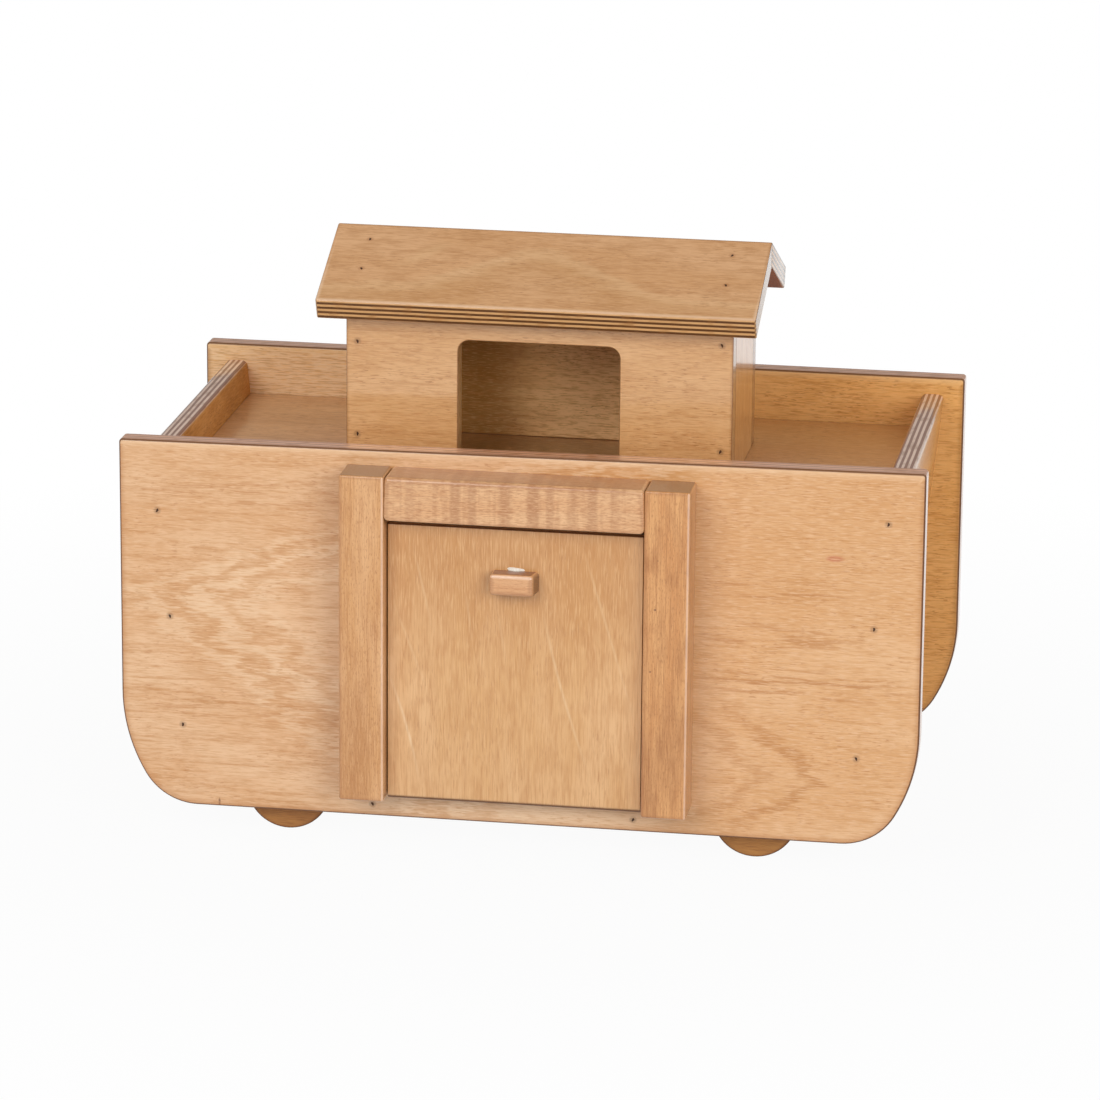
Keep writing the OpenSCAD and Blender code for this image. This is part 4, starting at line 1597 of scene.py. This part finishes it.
    def build(self) -> Objects:
        """Make each set of heads as one piece.

        Yields:
            The sets.
        """
        sets = [*self.on_both("side_brads", "side_panel", self.side_places()),
                *self.on_both("cabin_brads", "cabin_wall", self.cabin_places()),
                self.in_roof(), self.in_deck()]
        for node, surface, place in sets:
            piece = Piece(node.replace("brads", "brad_heads"), "hull", "steel_brad", node)
            yield piece.build(surface, place, self.finishes.brad)


@dataclass(frozen=True)
class Lamp:
    """A square soft light: its direction in degrees, distance and size in metres, and power in watts."""

    name: str
    azimuth: float
    elevation: float
    distance: float
    size: float
    watts: float


def toward(azimuth: float, elevation: float) -> Vector:
    """Unit vector from the object to a viewer at an azimuth and elevation, in degrees; azimuth 0 is -Y."""
    a, e = math.radians(azimuth), math.radians(elevation)
    return Vector((math.sin(a) * math.cos(e), -math.cos(a) * math.cos(e), math.sin(e)))


@dataclass(frozen=True)
class Studio:
    """Pale floor, soft light and the camera."""

    target: tuple[float, float, float] = (-0.00075, 0.011, 0.13285)
    azimuth: float = 9.314
    elevation: float = 16.074
    roll: float = 0.49
    distance: float = 3.01246
    lens: float = 184.45
    sensor: float = 36.0
    # Light of the room on the object, and as the varnish mirrors it: a dim room round a white table
    ambient: float = 0.55
    mirrored: float = 0.3
    floor_half: float = 8.0
    floor_points: int = 33
    floor_tone: str = "#C6C6C6"
    # The floor's rim: where it starts to fall, as a share of the floor, and its fall in metres
    floor_flat: float = 0.8
    floor_fall: float = 0.02
    # Share of the floor that glows white to the camera, near the object and beyond it; the rest takes shadow
    floor_glow: tuple[float, float] = (0.95, 1.0)
    floor_reach: tuple[float, float] = (0.25, 0.7)
    lamps: tuple[Lamp, ...] = (Lamp("left", -24, 30, 2.4, 1.3, 20), Lamp("right", 36, 18, 2.4, 1.3, 20.5))

    def rays(self, paint: Paint, *kinds: str) -> bpy.types.Node | bpy.types.NodeSocket:
        """1 for rays of any of the kinds, such as Camera, else 0."""
        path = paint.add("LightPath").outputs
        return functools.reduce(functools.partial(paint.add, "Math.MAXIMUM"),
                                (path[f"Is {kind} Ray"] for kind in kinds))

    def build_room(self) -> None:
        """Make the white world and the floor: a grid of points that lies level, gently dished at its rim."""
        paint = Paint(bpy.data.worlds.new("white_room"))
        room = paint.add("MapRange", self.rays(paint, "Glossy"), To_Min=self.ambient, To_Max=self.mirrored)
        clear = self.rays(paint, "Camera", "Transmission")
        strength = paint.add("Math.MAXIMUM", room, clear)
        light = paint.add("Background", linear("#FFFFFF"), strength)
        paint.add("OutputWorld", light)
        bpy.context.scene.world = paint.owner
        steps = np.linspace(-self.floor_half, self.floor_half, self.floor_points)
        x, y = np.meshgrid(steps, steps)
        level = -self.floor_fall * np.maximum(np.hypot(x, y) / self.floor_half - self.floor_flat, 0)
        mesh = bpy.data.meshes.new("floor")
        mesh.from_pydata(np.stack([x, y, level], axis=-1).reshape(-1, 3).tolist(), [],
                         [face[::-1] for face in grid_faces(len(steps), len(steps), False, False)])
        paint = Paint(bpy.data.materials.new("matt_white_floor"))
        matt = paint.add("BsdfDiffuse", linear(self.floor_tone))
        glow = paint.add("Emission", linear("#FFFFFF"))
        at = paint.add("TexCoord").outputs["Object"]
        away = paint.add("VectorMath.LENGTH", at).outputs["Value"]
        share = paint.add("MapRange", away, *self.floor_reach, *self.floor_glow)
        seen = self.rays(paint, "Camera", "Glossy", "Transmission")
        share = paint.add("Math.MULTIPLY", seen, share)
        mixed = paint.add("MixShader", share, matt, glow)
        paint.add("OutputMaterial", mixed)
        mesh.materials.append(paint.owner)
        floor = bpy.data.objects.new("floor", mesh)
        bpy.context.scene.collection.objects.link(floor)

    def build_lamps(self) -> None:
        """Hang each lamp, turned to the object."""
        for lamp in self.lamps:
            light = bpy.data.lights.new(lamp.name, "AREA")
            light.energy, light.size = lamp.watts, lamp.size
            obj = bpy.data.objects.new(lamp.name, light)
            way = toward(lamp.azimuth, lamp.elevation)
            obj.location = Vector(self.target) + lamp.distance * way
            obj.rotation_euler = (-way).to_track_quat("-Z", "Y").to_euler()
            bpy.context.scene.collection.objects.link(obj)

    def build_camera(self) -> None:
        """Set the camera where the photograph was taken from, with its small roll."""
        data = bpy.data.cameras.new("camera")
        data.lens, data.sensor_width = self.lens, self.sensor
        camera = bpy.data.objects.new("camera", data)
        back = toward(self.azimuth, self.elevation)
        right = Vector((-back.y, back.x, 0)).normalized()
        turn = Matrix.Rotation(math.radians(self.roll), 3, back)
        right, up = turn @ right, turn @ back.cross(right)
        camera.matrix_world = Matrix.Translation(Vector(self.target) + self.distance * back) @ Matrix(
            (right, up, back)).transposed().to_4x4()
        bpy.context.scene.collection.objects.link(camera)
        bpy.context.scene.camera = camera

    def build(self) -> None:
        """Make the room, the lamps and the camera, and show colours as written."""
        self.build_room()
        self.build_lamps()
        self.build_camera()
        bpy.context.scene.view_settings.view_transform = "Standard"


def main() -> None:
    """Build the ark in order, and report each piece."""
    logging.basicConfig(level=logging.INFO, format="%(message)s")
    brads = Brads(Finishes(), Roof(Finishes()))
    finishes = brads.stained(Finishes())
    for assembly in (Hull(finishes), DoorFrame(finishes), RampDoor(finishes), Cabin(finishes), Roof(finishes),
                     RunningGear(finishes), brads):
        for obj in assembly.build():
            LOG.info("%s: %s, %d points", type(assembly).__name__, obj.name, len(obj.data.vertices))
    Studio().build()
    bpy.context.view_layer.update()


if __name__ == "__main__":
    main()
